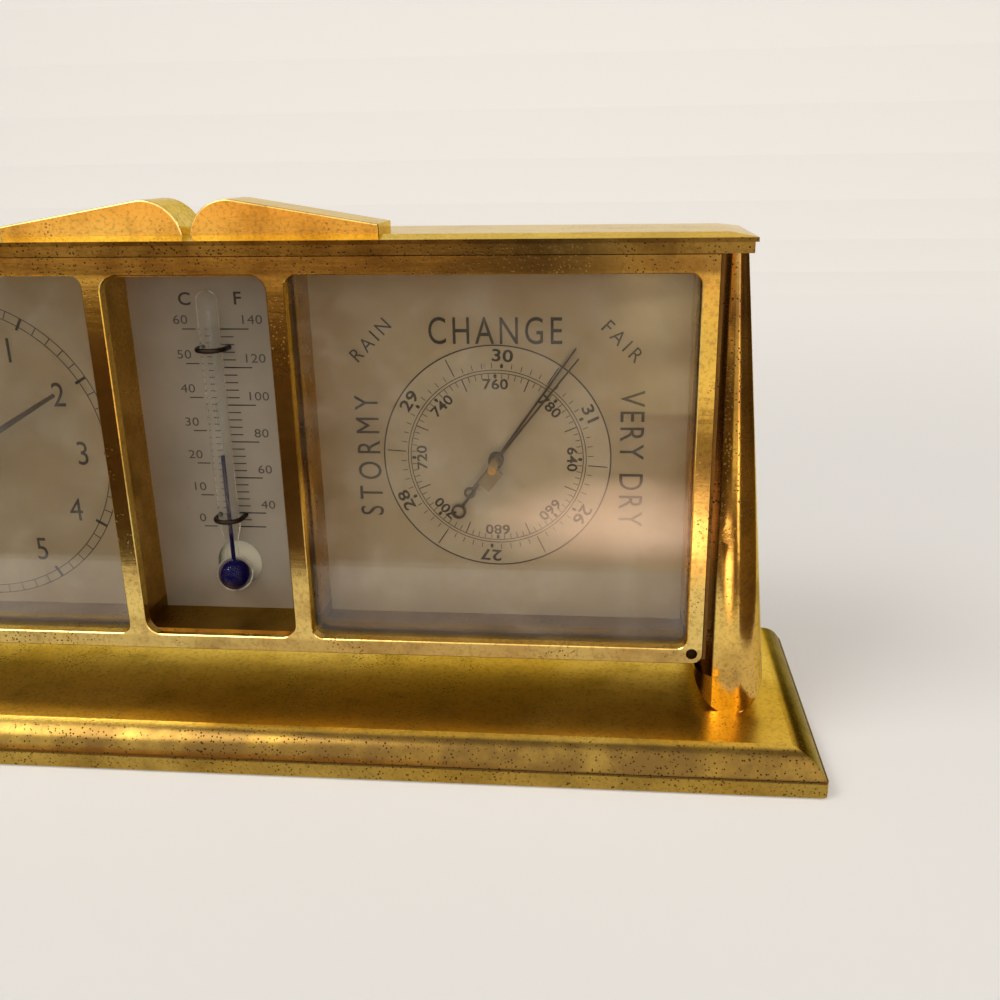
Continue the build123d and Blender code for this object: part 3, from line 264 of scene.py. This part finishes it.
def clearGlass(name, tint, floorShine, slantShine, film, edge=0.32, filmFrom=0.0):
    # thin glass: mostly see-through, with a sheen that grows at a slant and a dusty film
    # edge is how early the sheen grows, filmFrom the height in mm from which there is film
    made, tree, shader, where = startMaterial(name)
    tree.nodes.remove(shader)
    dust = noise(where, glassLook["dustScale"], 5.0, 0.65).ramp(*glassLook["dust"])
    dusty = axisOf(where, "Z").ramp((filmFrom - 1.0) * mm, filmFrom * mm)
    veil = (dust + glassLook["leastDust"]) * dusty * film
    slant = where.node("ShaderNodeLayerWeight", output=0, Blend=edge)
    clear = where.node("ShaderNodeBsdfTransparent", Color=tint)
    shine = where.node("ShaderNodeBsdfGlossy", Color=(1, 1, 1, 1), Roughness=glassLook["polish"])
    grey = where.node("ShaderNodeBsdfDiffuse", Color=glassLook["dustGrey"])
    body = where.node("ShaderNodeMixShader", i0=veil, i1=clear, i2=grey)
    whole = where.node("ShaderNodeMixShader", i0=slant * slantShine + floorShine, i1=body, i2=shine)
    tree.links.new(whole.socket, tree.nodes["Material Output"].inputs["Surface"])
    return made


# the zones paint dark reflections on the band under the lip and on the lip's front face
brassTop = agedBrass(
    "brassTop", (0.88, 0.69, 0.26, 1), (0.72, 0.47, 0.13, 1), (0.10, 0.055, 0.016, 1),
    pitting=0.05, grime=0.3, rough=0.10,
    shadeZones=((69.3, 70.8, 0.8, 0.1), (70.9, 71.4, 0.95, 0.1)),
)
# the zones paint dark reflections on the fascia and on the moulding above it
brassBase = agedBrass(
    "brassBase", (0.92, 0.64, 0.13, 1), (0.74, 0.45, 0.06, 1), (0.13, 0.076, 0.020, 1),
    pitting=0.06, grime=0.28, rough=0.14,
    shadeZones=((0.0, 2.7, 0.62, 0.2), (2.7, 5.6, 0.95, 0.4)), satin=(6.0, 0.25),
)
# the zones paint a dark reflection across the head bar, and darken a fainter band low on the frame
brassFront = agedBrass(
    "brassFront", (0.87, 0.65, 0.20, 1), (0.72, 0.45, 0.13, 1), (0.16, 0.082, 0.026, 1),
    pitting=0.07, grime=0.35, rough=0.10,
    shadeZones=((67.6, 69.6, 0.72, 1.2), (12.6, 14.5, 0.3, 0.8)),
)
# the zones paint the cheeks darker towards their tops, a painted dark reflection; the part in the groove by
# the frame gets painted shade
brassSide = agedBrass(
    "brassSide", (0.92, 0.64, 0.16, 1), (0.68, 0.41, 0.10, 1), (0.16, 0.085, 0.03, 1),
    pitting=0.13, grime=0.5, rough=0.09,
    shadeZones=((58.0, 70.0, 0.72, 24.0),), shadedGroove=frameHalf + 1.4,
)
# a darker copy of the brass for the sunken wells, darker still in a band low in them: painted shade
brassWell = agedBrass(
    "brassWell", (0.62, 0.38, 0.14, 1), (0.42, 0.24, 0.07, 1), (0.12, 0.06, 0.02, 1),
    pitting=0.0, grime=0.5, rough=0.24,
    shadeZones=((12.0, 17.2, 0.7, 0.3),),
)
# the case body gets a very dark copy of the brass, painted shade for the gaps where it shows
shadedBrass = agedBrass(
    "shadedBrass", (0.18, 0.10, 0.03, 1), (0.12, 0.06, 0.02, 1), (0.06, 0.03, 0.01, 1),
    pitting=0.1, grime=0.6, rough=0.34,
)
brassWorks = plainMetal("brassWorks", (0.72, 0.52, 0.22, 1), 0.25)
steelWorks = plainMetal("steelWorks", (0.47, 0.47, 0.48, 1), 0.28)
wornSteel = plainMetal("wornSteel", (0.34, 0.30, 0.25, 1), 0.36)
tinSheet = plainMetal("tinSheet", (0.62, 0.60, 0.55, 1), 0.3)
dialSilver = coated("dialSilver", (0.46, 0.385, 0.27, 1), (0.39, 0.32, 0.22, 1), 0.40, 0.3)
discSilver = coated("discSilver", (0.50, 0.44, 0.335, 1), (0.44, 0.38, 0.285, 1), 0.38, 0.3)
plateSilver = coated("plateSilver", (0.31, 0.28, 0.235, 1), (0.25, 0.225, 0.185, 1), 0.42, 0.3)
blackPrint = coated("blackPrint", (0.022, 0.019, 0.016, 1), (0.035, 0.030, 0.025, 1), 0.6, 0.0)
greyPrint = coated("greyPrint", (0.05, 0.044, 0.038, 1), (0.075, 0.066, 0.056, 1), 0.6, 0.0)
handBlack = coated("handBlack", (0.035, 0.028, 0.022, 1), (0.06, 0.045, 0.03, 1), 0.42, 0.3)
feltGreen = coated("feltGreen", (0.05, 0.085, 0.055, 1), (0.035, 0.06, 0.04, 1), 0.85, 0.0, mottle=1800.0)
spiritBlue = coated("spiritBlue", (0.003, 0.002, 0.05, 1), (0.002, 0.0015, 0.035, 1), 0.10, 0.0)
spiritBlue.node_tree.nodes["Principled BSDF"].inputs["Specular IOR Level"].default_value = 0.06
# the thermometer bracket is painted near white, a painted highlight for the bright light it catches
paleGiltHighlight = coated("paleGiltHighlight", (0.98, 0.94, 0.76, 1), (0.94, 0.88, 0.66, 1), 0.3, 0.0)
blackWire = plainMetal("blackWire", (0.035, 0.026, 0.020, 1), 0.4)
oliveGilt = plainMetal("oliveGilt", (0.27, 0.22, 0.12, 1), 0.42)
paneGlass = clearGlass("paneGlass", (0.97, 0.96, 0.93, 1), floorShine=0.03, slantShine=0.5, film=0.10)
tubeGlass = clearGlass(
    "tubeGlass", (0.97, 0.98, 0.98, 1), floorShine=0.0, slantShine=0.5, film=0.16, edge=0.14, filmFrom=29.0
)

dressing = {
    brassTop: ("top_plate", "crest_wing_left", "crest_wing_right"),
    brassBase: ("base",),
    brassFront: ("front_frame", "rear_cover", "setting_knob", "winding_key"),
    brassSide: ("left_cheek", "right_cheek"),
    brassWell: ("clock_well", "barometer_well", "thermometer_well"),
    shadedBrass: ("case_body",),
    blackWire: ("thermometer_clips", "frame_pins"),
    paleGiltHighlight: ("thermometer_bracket",),
    feltGreen: ("base_felt",),
    wornSteel: ("cheek_screws", "crest_screws", "top_plate_screws", "rear_cover_screws", "adjusting_screw"),
    paneGlass: ("clock_glass", "barometer_glass"),
    tubeGlass: ("thermometer_tube",),
    spiritBlue: ("thermometer_spirit",),
    dialSilver: ("clock_dial", "barometer_dial"),
    plateSilver: ("thermometer_plate",),
    handBlack: ("hour_hand", "minute_hand", "barometer_hand", "marker_hand"),
    tinSheet: ("barometer_capsule",),
    steelWorks: (
        "winding_arbor", "escape_wheel", "pallet_lever", "balance_hairspring", "barometer_spring",
        "barometer_lever", "barometer_rocker", "barometer_hairspring",
    ),
}
for name, piece in nodes.items():
    chosen = brassWorks
    for material, members in dressing.items():
        if name in members:
            chosen = material
    piece.data.materials.clear()
    piece.data.materials.append(chosen)
print("materials on the CAD pieces")


# repeats: a ring of small bars and a ladder of small bars
def barTree(name, ring):
    tree = bpy.data.node_groups.new(name, "GeometryNodeTree")
    tree.interface.new_socket("Geometry", in_out="OUTPUT", socket_type="NodeSocketGeometry")
    wanted = [
        ("Count", "NodeSocketInt"), ("Start", "NodeSocketFloat"), ("Step", "NodeSocketFloat"),
        ("Reach", "NodeSocketFloat"), ("Width", "NodeSocketFloat"), ("Length", "NodeSocketFloat"),
        ("Material", "NodeSocketMaterial"),
    ]
    for label, kind in wanted:
        tree.interface.new_socket(label, in_out="INPUT", socket_type=kind)
    new = tree.nodes.new
    link = tree.links.new
    given = new("NodeGroupInput").outputs
    line = new("GeometryNodeMeshLine")
    line.inputs["Offset"].default_value = (0, 0, 0)
    link(given["Count"], line.inputs["Count"])
    step = new("ShaderNodeMath")
    step.operation = "MULTIPLY_ADD"
    link(new("GeometryNodeInputIndex").outputs[0], step.inputs[0])
    link(given["Step"], step.inputs[1])
    link(given["Start"], step.inputs[2])
    place = new("ShaderNodeCombineXYZ")
    turn = new("ShaderNodeCombineXYZ")
    if ring:
        for axis, operation in (("X", "SINE"), ("Y", "COSINE")):
            wave = new("ShaderNodeMath")
            wave.operation = operation
            link(step.outputs[0], wave.inputs[0])
            out = new("ShaderNodeMath")
            out.operation = "MULTIPLY"
            link(wave.outputs[0], out.inputs[0])
            link(given["Reach"], out.inputs[1])
            link(out.outputs[0], place.inputs[axis])
        back = new("ShaderNodeMath")
        back.operation = "MULTIPLY"
        back.inputs[1].default_value = -1.0
        link(step.outputs[0], back.inputs[0])
        link(back.outputs[0], turn.inputs["Z"])
    else:
        link(given["Reach"], place.inputs["X"])
        link(step.outputs[0], place.inputs["Y"])
    moved = new("GeometryNodeSetPosition")
    link(line.outputs[0], moved.inputs["Geometry"])
    link(place.outputs[0], moved.inputs["Position"])
    bar = new("GeometryNodeMeshGrid")
    bar.inputs["Vertices X"].default_value = 2
    bar.inputs["Vertices Y"].default_value = 2
    link(given["Width"], bar.inputs["Size X"])
    link(given["Length"], bar.inputs["Size Y"])
    spread = new("GeometryNodeInstanceOnPoints")
    link(moved.outputs[0], spread.inputs["Points"])
    link(bar.outputs[0], spread.inputs["Instance"])
    link(turn.outputs[0], spread.inputs["Rotation"])
    real = new("GeometryNodeRealizeInstances")
    link(spread.outputs[0], real.inputs[0])
    inked = new("GeometryNodeSetMaterial")
    link(real.outputs[0], inked.inputs["Geometry"])
    link(given["Material"], inked.inputs["Material"])
    link(inked.outputs[0], new("NodeGroupOutput").inputs[0])
    return tree


ringTree = barTree("tickRing", True)
ladderTree = barTree("tickLadder", False)


def bars(tree, count, start, step, reach, width, length, material):
    # a mesh of bars in mm, made by the node tree
    holder = bpy.data.objects.new("bars", bpy.data.meshes.new("bars"))
    bpy.context.scene.collection.objects.link(holder)
    repeat = holder.modifiers.new("repeat", "NODES")
    repeat.node_group = tree
    values = {
        "Count": count, "Start": start, "Step": step, "Reach": reach,
        "Width": width, "Length": length, "Material": material,
    }
    for item in tree.interface.items_tree:
        if item.in_out == "INPUT":
            repeat[item.identifier] = values[item.name]
    graph = bpy.context.evaluated_depsgraph_get()
    mesh = bpy.data.meshes.new_from_object(holder.evaluated_get(graph))
    holder.modifiers.remove(repeat)
    bpy.data.objects.remove(holder)
    return mesh


# height of the capitals of the built-in face at size 1
capHeight = 0.69


def lettering(words, height, spacing=1.0, weight=0.0, squeeze=1.0):
    # flat letters centred on their own middle, height in mm
    curve = bpy.data.curves.new("words", "FONT")
    curve.body = words
    curve.align_x = "CENTER"
    curve.space_character = spacing
    curve.offset = weight
    curve.resolution_u = 4
    holder = bpy.data.objects.new("words", curve)
    bpy.context.scene.collection.objects.link(holder)
    graph = bpy.context.evaluated_depsgraph_get()
    mesh = bpy.data.meshes.new_from_object(holder.evaluated_get(graph))
    bpy.data.objects.remove(holder)
    tall = height / capHeight
    scaled = Matrix.Diagonal((tall * squeeze, tall, tall, 1))
    mesh.transform(Matrix.Translation((0, -height / 2, 0)) @ scaled)
    return mesh


def hoop(radius, width, sides=160):
    # a flat ring, or a disc when width is the radius
    made = bmesh.new()
    angles = [2 * math.pi * i / sides for i in range(sides)]
    outer = [made.verts.new((radius * math.sin(a), radius * math.cos(a), 0)) for a in angles]
    if width >= radius:
        made.faces.new(outer[::-1])
    else:
        inner = [made.verts.new(v.co * ((radius - width) / radius)) for v in outer]
        for i in range(sides):
            j = (i + 1) % sides
            made.faces.new((outer[i], inner[i], inner[j], outer[j]))
    mesh = bpy.data.meshes.new("hoop")
    made.to_mesh(mesh)
    made.free()
    return mesh


class Sheet:
    # collects flat prints of one dial into one piece; places are X and Z in mm on a depth

    def __init__(self, depth):
        self.depth = depth
        self.mesh = bmesh.new()

    def put(self, mesh, x, z, turn=0.0, lift=0.0):
        mesh.transform(
            Matrix.Scale(mm, 4)
            @ Matrix.Translation((x, frontY + self.depth - lift, z))
            @ Matrix.Rotation(deg(90), 4, "X")
            @ Matrix.Rotation(deg(-turn), 4, "Z")
        )
        self.mesh.from_mesh(mesh)
        bpy.data.meshes.remove(mesh)

    def done(self, name, material, body):
        mesh = bpy.data.meshes.new(name)
        self.mesh.to_mesh(mesh)
        self.mesh.free()
        mesh.materials.append(material)
        piece = bpy.data.objects.new(name, mesh)
        bpy.context.scene.collection.objects.link(piece)
        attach(piece, body)


# both dials and the thermometer plate share one face, and all printing lies a hair in front of it
inkGap = 0.04
inkDepth = depthOf("barometer_dial") - inkGap

# barometer dial: pale disc, two scales, weather words around the arbor of the hand
arborX, arborZ = middleOf("barometer_arbor")
baro = {
    "lift": 0.03, "x": arborX, "z": arborZ, "disc": 16.5, "ring": 12.95, "ringGap": 0.42,
    "inchTurn": 4.0, "inchTall": 1.66, "inchReach": 15.0, "mmTall": 1.4, "mmReach": 10.9,
}


def clockwise(x, z, reach, angle):
    # the place that lies reach from x, z at an angle from the top
    return x + reach * math.sin(deg(angle)), z + reach * math.cos(deg(angle))


disc = Sheet(inkDepth)
disc.put(hoop(baro["disc"], baro["disc"]), baro["x"], baro["z"])
disc.done("barometerScaleDisc", discSilver, "stand")

ink = Sheet(inkDepth)
for radius, line in ((baro["disc"], 0.2), (baro["ring"], 0.11), (baro["ring"] - baro["ringGap"], 0.11)):
    ink.put(hoop(radius, line), baro["x"], baro["z"], lift=baro["lift"])
# count, first angle, step, reach, width, length: inch marks outside the ring, millimetre marks inside
marks = (
    (60, baro["inchTurn"], 6.0, 13.55, 0.10, 0.75),
    (6, baro["inchTurn"] + 30, 60.0, 14.65, 0.15, 2.6),
    (6, baro["inchTurn"], 60.0, 13.5, 0.42, 0.5),
    (80, 0.0, 4.5, 12.0, 0.10, 0.75),
    (8, 22.5, 45.0, 11.5, 0.15, 1.8),
    (8, 0.0, 45.0, 12.05, 0.42, 0.5),
)
for count, first, step, reach, width, length in marks:
    ring = bars(ringTree, count, deg(first), deg(step), reach, width, length, blackPrint)
    ink.put(ring, baro["x"], baro["z"], lift=baro["lift"])
for place, number in enumerate(("30", "31", "26", "27", "28", "29")):
    angle = baro["inchTurn"] + 60 * place
    x, z = clockwise(baro["x"], baro["z"], baro["inchReach"], angle)
    figure = lettering(number, baro["inchTall"], spacing=1.04, weight=0.02, squeeze=1.28)
    ink.put(figure, x, z, angle, baro["lift"])
for place, number in enumerate(("760", "780", "640", "660", "680", "700", "720", "740")):
    angle = 45 * place
    x, z = clockwise(baro["x"], baro["z"], baro["mmReach"], angle)
    figure = lettering(number, baro["mmTall"], spacing=1.03, weight=0.02, squeeze=1.18)
    ink.put(figure, x, z, angle, baro["lift"])
# words, place, turn, height, width of the letters, spacing
wordRows = (
    ("CHANGE", 40.2, 58.4, 0, 3.75, 0.74, 1.24),
    ("STORMY", 21.45, 40.0, -90, 3.4, 0.74, 1.45),
    ("VERY DRY", 59.5, 39.95, 90, 3.4, 0.78, 1.20),
    ("RAIN", 22.55, 57.04, -45, 1.95, 0.95, 1.34),
    ("FAIR", 57.87, 56.97, 45, 1.95, 0.95, 1.40),
)
for words, x, z, turn, tall, squeeze, spacing in wordRows:
    ink.put(lettering(words, tall, spacing, squeeze=squeeze), x, z, turn, baro["lift"])
ink.done("barometerPrint", blackPrint, "stand")
print("barometer dial printed")

# thermometer plate: C on the left, F on the right
thermo = {
    "zero": 28.72, "perC": 0.4975, "perF": 0.2764, "tall": 1.25, "over": 1.35, "letter": 1.75,
    "leftFigures": -4.75, "rightFigures": 5.6,
}
scale = Sheet(inkDepth)
# letter and its place
for letter, x, z in (("C", -3.81, 62.85), ("F", 3.88, 62.92)):
    scale.put(lettering(letter, thermo["letter"], weight=0.012, squeeze=1.1), x, z)
freezing = thermo["zero"]
# count, first height, step, place across, width, thickness
rungs = (
    (7, freezing, 10 * thermo["perC"], -3.6, 2.0, 0.16),
    (30, freezing + 2 * thermo["perC"], 2 * thermo["perC"], -2.1, 0.2, 0.16),
    (30, freezing + 2 * thermo["perC"], 2 * thermo["perC"], -0.95, 0.75, 0.13),
    (28, freezing, 4 * thermo["perF"], 1.85, 2.0, 0.15),
    (6, freezing + 8 * thermo["perF"], 20 * thermo["perF"], 3.1, 4.1, 0.17),
    (1, freezing, 1.0, 3.0, 3.9, 0.17),
)
for count, first, step, across, width, thick in rungs:
    scale.put(bars(ladderTree, count, first, step, across, width, thick, blackPrint), 0, 0)
scale.done("thermometerPrint", blackPrint, "stand")
figures = Sheet(inkDepth)
for celsius in range(0, 61, 10):
    z = freezing + celsius * thermo["perC"] + thermo["over"]
    figure = lettering(str(celsius), thermo["tall"], spacing=1.04, squeeze=1.22)
    figures.put(figure, thermo["leftFigures"], z)
for fahrenheit in range(40, 141, 20):
    z = freezing + (fahrenheit - 32) * thermo["perF"] + thermo["over"]
    figure = lettering(str(fahrenheit), thermo["tall"], spacing=1.04, squeeze=1.22)
    figures.put(figure, thermo["rightFigures"], z)
figures.done("thermometerFigures", greyPrint, "stand")
print("thermometer plate printed")

# clock dial: plain numbers, minute marks, in the same place on the left
clock = {
    "x": -baro["x"], "z": baro["z"], "edge": 23.2, "inner": 21.9, "line": 0.13,
    "numbers": 17.9, "tall": 3.6,
}
hours = Sheet(inkDepth)
for radius in (clock["edge"], clock["inner"]):
    hours.put(hoop(radius, clock["line"]), clock["x"], clock["z"])
# count, step, reach, width, length of the minute and the hour marks
for count, step, reach, width, length in ((60, 6, 22.55, 0.14, 1.2), (12, 30, 22.2, 0.42, 1.9)):
    ring = bars(ringTree, count, 0.0, deg(step), reach, width, length, blackPrint)
    hours.put(ring, clock["x"], clock["z"])
for hour in range(1, 13):
    x, z = clockwise(clock["x"], clock["z"], clock["numbers"], 30 * hour)
    hours.put(lettering(str(hour), clock["tall"], squeeze=0.86), x, z)
hours.done("clockPrint", blackPrint, "stand")
print("clock dial printed")

# olive poise of the marker hand, a thin face over the CAD one
poise = {"gap": 0.03, "wide": 2.1, "long": 3.4, "offset": 2.6, "side": 1.0, "angle": 38.5}
gilt = Sheet(depthOf("marker_hand") - poise["gap"])
x, z = clockwise(baro["x"], baro["z"], -poise["offset"], poise["angle"])
x, z = clockwise(x, z, poise["side"], poise["angle"] + 90)
face = bars(ladderTree, 1, 0.0, 0.0, 0.0, poise["wide"], poise["long"], oliveGilt)
gilt.put(face, x, z, poise["angle"])
gilt.done("markerPoise", oliveGilt, "marker")

# hairspring of the pressure hand, its collet opened a little so that the arbor turns free in it
spring = {"bore": 0.9, "play": 0.08}
springMesh = nodes["barometer_hairspring"].data.copy()
for point in springMesh.vertices:
    out = Vector((point.co.x - baro["x"] * mm, 0, point.co.z - baro["z"] * mm))
    if out.length < spring["bore"] * mm:
        point.co += out.normalized() * spring["play"] * mm
springPiece = bpy.data.objects.new("hairspring", springMesh)
bpy.context.scene.collection.objects.link(springPiece)
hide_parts("barometer_hairspring")
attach(springPiece, "stand")
print("poise and hairspring placed")


# stage: pale sweep, soft lights, and cards that only the polished pieces see
def stagePaint(name, paint, strength):
    # dull paint that also glows
    made, tree, shader, where = startMaterial(name)
    feed(tree, shader, "Base Color", paint)
    feed(tree, shader, "Roughness", 0.9)
    shader.inputs["Emission Strength"].default_value = strength
    shader.inputs["Specular IOR Level"].default_value = 0.0
    return made, tree, shader, where


def lookedAt(tree):
    # 1 for rays that look at the background, also by a mirror or through glass
    # 0 for rays that light the part
    path = tree.nodes.new("ShaderNodeLightPath").outputs
    camera, glossy, through = (
        Sock(tree, path[kind]) for kind in ("Is Camera Ray", "Is Glossy Ray", "Is Transmission Ray")
    )
    return (camera + glossy + through).ramp(0.0, 1.0)


def sweepGlow(name, near, far, edge, paint):
    # glows more at the back and at the edges, where the lamps hardly reach, and the glow lights nothing
    made, tree, shader, where = stagePaint(name, paint, 1.0)
    away = where.node("ShaderNodeVectorMath", output=1, settings={"operation": "LENGTH"}, i0=where)
    glow = axisOf(where, "Y").ramp(*room["farGlow"]).mixed(near, far)
    glow = away.ramp(*room["edgeGlow"]).mixed(glow, edge)
    feed(tree, shader, "Emission Color", lookedAt(tree).mixed((0, 0, 0, 1), glow))
    return made


def evenGlow(name, colour, strength):
    made, tree, shader, _ = stagePaint(name, colour, strength)
    feed(tree, shader, "Emission Color", colour)
    return made


# where the mirrored table turns warm, in metres to the right, to the left and to the front
table = {
    "right": (0.045, 0.08), "left": (0.05, 0.25), "front": (0.45, 0.9),
    "patchScale": 5.0, "patch": (0.35, 0.65), "patchShare": 0.6,
}


def roomGlow(name, dark, warm, strength):
    # dark table in front of the part, warm to the right of it and far to the left
    made, tree, shader, where = stagePaint(name, dark, strength)
    across, along = axisOf(where, "X"), axisOf(where, "Y")
    right = across.ramp(*table["right"])
    left = (0.0 - across).ramp(*table["left"]) * (0.0 - along).ramp(*table["front"])
    patches = noise(where, table["patchScale"], 2.0).ramp(*table["patch"])
    patches = patches * table["patchShare"] + (1.0 - table["patchShare"])
    feed(tree, shader, "Emission Color", ((right + left) * patches).mixed(dark, warm))
    return made


def glare(name, paint, dark, bright, middle, reach, strength):
    # a bright patch that fades out unevenly from its middle
    made, tree, shader, where = stagePaint(name, paint, strength)
    distance = {"operation": "DISTANCE"}
    away = where.node("ShaderNodeVectorMath", output=1, settings=distance, i0=where, i1=middle)
    uneven = away + noise(where, 38.0, 2.0) * reach * 0.9
    patch = 1.0 - uneven.ramp(0.4 * reach, 1.7 * reach)
    feed(tree, shader, "Emission Color", patch.mixed(dark, bright))
    return made


def stagePiece(name, mesh, material):
    mesh.materials.append(material)
    piece = bpy.data.objects.new(name, mesh)
    bpy.context.scene.collection.objects.link(piece)
    return piece


# pale sweep: floor, bend and backdrop in metres, and between which places its glow grows
room = {
    "front": -4.0, "back": 0.5, "bend": 0.6, "top": 2.0, "half": 4.0, "steps": 12,
    "farGlow": (0.04, 0.5), "edgeGlow": (2.22, 2.45),
}
sweepPaint = sweepGlow(
    "sweepPaint", near=(0.27, 0.25, 0.23, 1), far=(0.50, 0.465, 0.42, 1), edge=(0.70, 0.655, 0.60, 1),
    paint=(0.6, 0.62, 0.66, 1),
)
profile = [(room["front"], 0.0), (room["back"], 0.0)]
for i in range(1, room["steps"] + 1):
    a = math.pi / 2 * i / room["steps"]
    y = room["back"] + room["bend"] * math.sin(a)
    profile.append((y, room["bend"] - room["bend"] * math.cos(a)))
profile.append((room["back"] + room["bend"], room["top"]))
sweep = bmesh.new()
rows = [[sweep.verts.new((x, y, z)) for y, z in profile] for x in (-room["half"], room["half"])]
for i in range(len(profile) - 1):
    sweep.faces.new((rows[0][i], rows[1][i], rows[1][i + 1], rows[0][i + 1]))
sweepMesh = bpy.data.meshes.new("sweep")
sweep.to_mesh(sweepMesh)
sweep.free()
stagePiece("sweep", sweepMesh, sweepPaint)

# cards that only mirroring surfaces see: paint and corners in metres
cardPaint = roomGlow("cardPaint", (0.024, 0.012, 0.005, 1), (1.0, 0.78, 0.40, 1), 1.45)
glarePaint = glare(
    "glarePaint", paint=(0.05, 0.03, 0.015, 1), dark=(0.02, 0.011, 0.005, 1), bright=(1.0, 0.66, 0.46, 1),
    middle=(0.060, -0.096, 0.001), reach=0.032, strength=5.0,
)
wallPaint = evenGlow("wallPaint", (1.0, 0.56, 0.2, 1), 0.85)
flagPaint = evenGlow("flagPaint", (0.12, 0.07, 0.03, 1), 0.5)
stripPaint = evenGlow("stripPaint", (1.0, 0.72, 0.55, 1), 3.0)
cards = {
    # the table in front and the glare on it
    "darkCard": (
        cardPaint, [(-6, -6, 0.0005), (6, -6, 0.0005), (6, -0.068, 0.0005), (-6, -0.068, 0.0005)],
    ),
    "glareCard": (
        glarePaint,
        [(-0.01, -0.2, 0.001), (0.13, -0.2, 0.001), (0.13, -0.07, 0.001), (-0.01, -0.07, 0.001)],
    ),
    # far warm wall that the crest mirrors
    "warmWall": (
        wallPaint, [(-0.9, -1.15, 0), (-0.12, -1.15, 0), (-0.12, -1.15, 0.3), (-0.9, -1.15, 0.3)],
    ),
    # upright cards at the right, outside the picture, that the cheek mirrors
    "rightFlag": (
        flagPaint, [(0.105, -0.055, 0), (0.40, 0.62, 0), (0.40, 0.62, 0.14), (0.105, -0.055, 0.14)],
    ),
    "rightStrip": (
        stripPaint, [(0.128, -0.13, 0), (0.136, -0.115, 0), (0.136, -0.115, 0.16), (0.128, -0.13, 0.16)],
    ),
}
for name, (paint, corners) in cards.items():
    mesh = bpy.data.meshes.new(name)
    mesh.from_pydata(corners, [], [tuple(range(len(corners)))])
    card = stagePiece(name, mesh, paint)
    card.visible_camera = False
    card.visible_diffuse = False
    card.visible_transmission = False
    card.visible_shadow = False

# lamps: place, aim, size in metres, power, colour
lamps = {
    "keyLight": ((-0.45, -0.35, 0.75), (0, 0, 0.03), (0.5, 0.4), 4.0, (1.0, 0.95, 0.86)),
    "sideLight": ((0.75, -0.15, 0.35), (0.05, 0, 0.04), (0.12, 0.5), 2.2, (1.0, 0.93, 0.8)),
    "frontLight": ((0.066, -1.53, 1.1), (0.03, 0, 0.02), (4.68, 2.52), 33.4, (1.0, 0.95, 0.86)),
}
for name, (place, aim, size, power, colour) in lamps.items():
    lamp = bpy.data.lights.new(name, "AREA")
    lamp.shape = "RECTANGLE"
    lamp.size, lamp.size_y = size
    lamp.energy = power
    lamp.color = colour
    piece = bpy.data.objects.new(name, lamp)
    piece.location = place
    piece.rotation_euler = (Vector(aim) - Vector(place)).to_track_quat("-Z", "Y").to_euler()
    bpy.context.scene.collection.objects.link(piece)

# the room gives a dim warm light, and looks pale past the sweep
world = bpy.data.worlds.new("room")
bpy.context.scene.world = world
world.use_nodes = True
sky = world.node_tree.nodes["Background"]
seen = lookedAt(world.node_tree).mixed((0.072, 0.05, 0.027, 1), (0.80, 0.75, 0.685, 1))
world.node_tree.links.new(seen.socket, sky.inputs["Color"])
bpy.context.scene.view_settings.view_transform = "Standard"

# camera fitted to the straight edges of the photo
view = {
    "lens": 36.7, "yaw": 5.52, "pitch": 18.43, "roll": -0.83, "place": (56.04, -139.67, 81.09),
    "shift": (-0.0132, -0.0026),
}
yaw, pitch, roll = (deg(view[k]) for k in ("yaw", "pitch", "roll"))
right = Vector((math.cos(yaw), math.sin(yaw), 0))
level = Vector((-math.sin(yaw), math.cos(yaw), 0))
up = Vector((0, 0, 1))
ahead = level * math.cos(pitch) - up * math.sin(pitch)
upward = up * math.cos(pitch) + level * math.sin(pitch)
camRight = right * math.cos(roll) + upward * math.sin(roll)
camUp = upward * math.cos(roll) - right * math.sin(roll)
lensData = bpy.data.cameras.new("camera")
lensData.lens = view["lens"]
lensData.sensor_width = 36.0
lensData.shift_x, lensData.shift_y = view["shift"]
lensData.clip_start = 0.005
camera = bpy.data.objects.new("camera", lensData)
turned = Matrix((camRight, camUp, -ahead)).transposed().to_4x4()
camera.matrix_world = Matrix.Translation(Vector(view["place"]) * mm) @ turned
bpy.context.scene.collection.objects.link(camera)
bpy.context.scene.camera = camera
print("stage, lights and camera set")
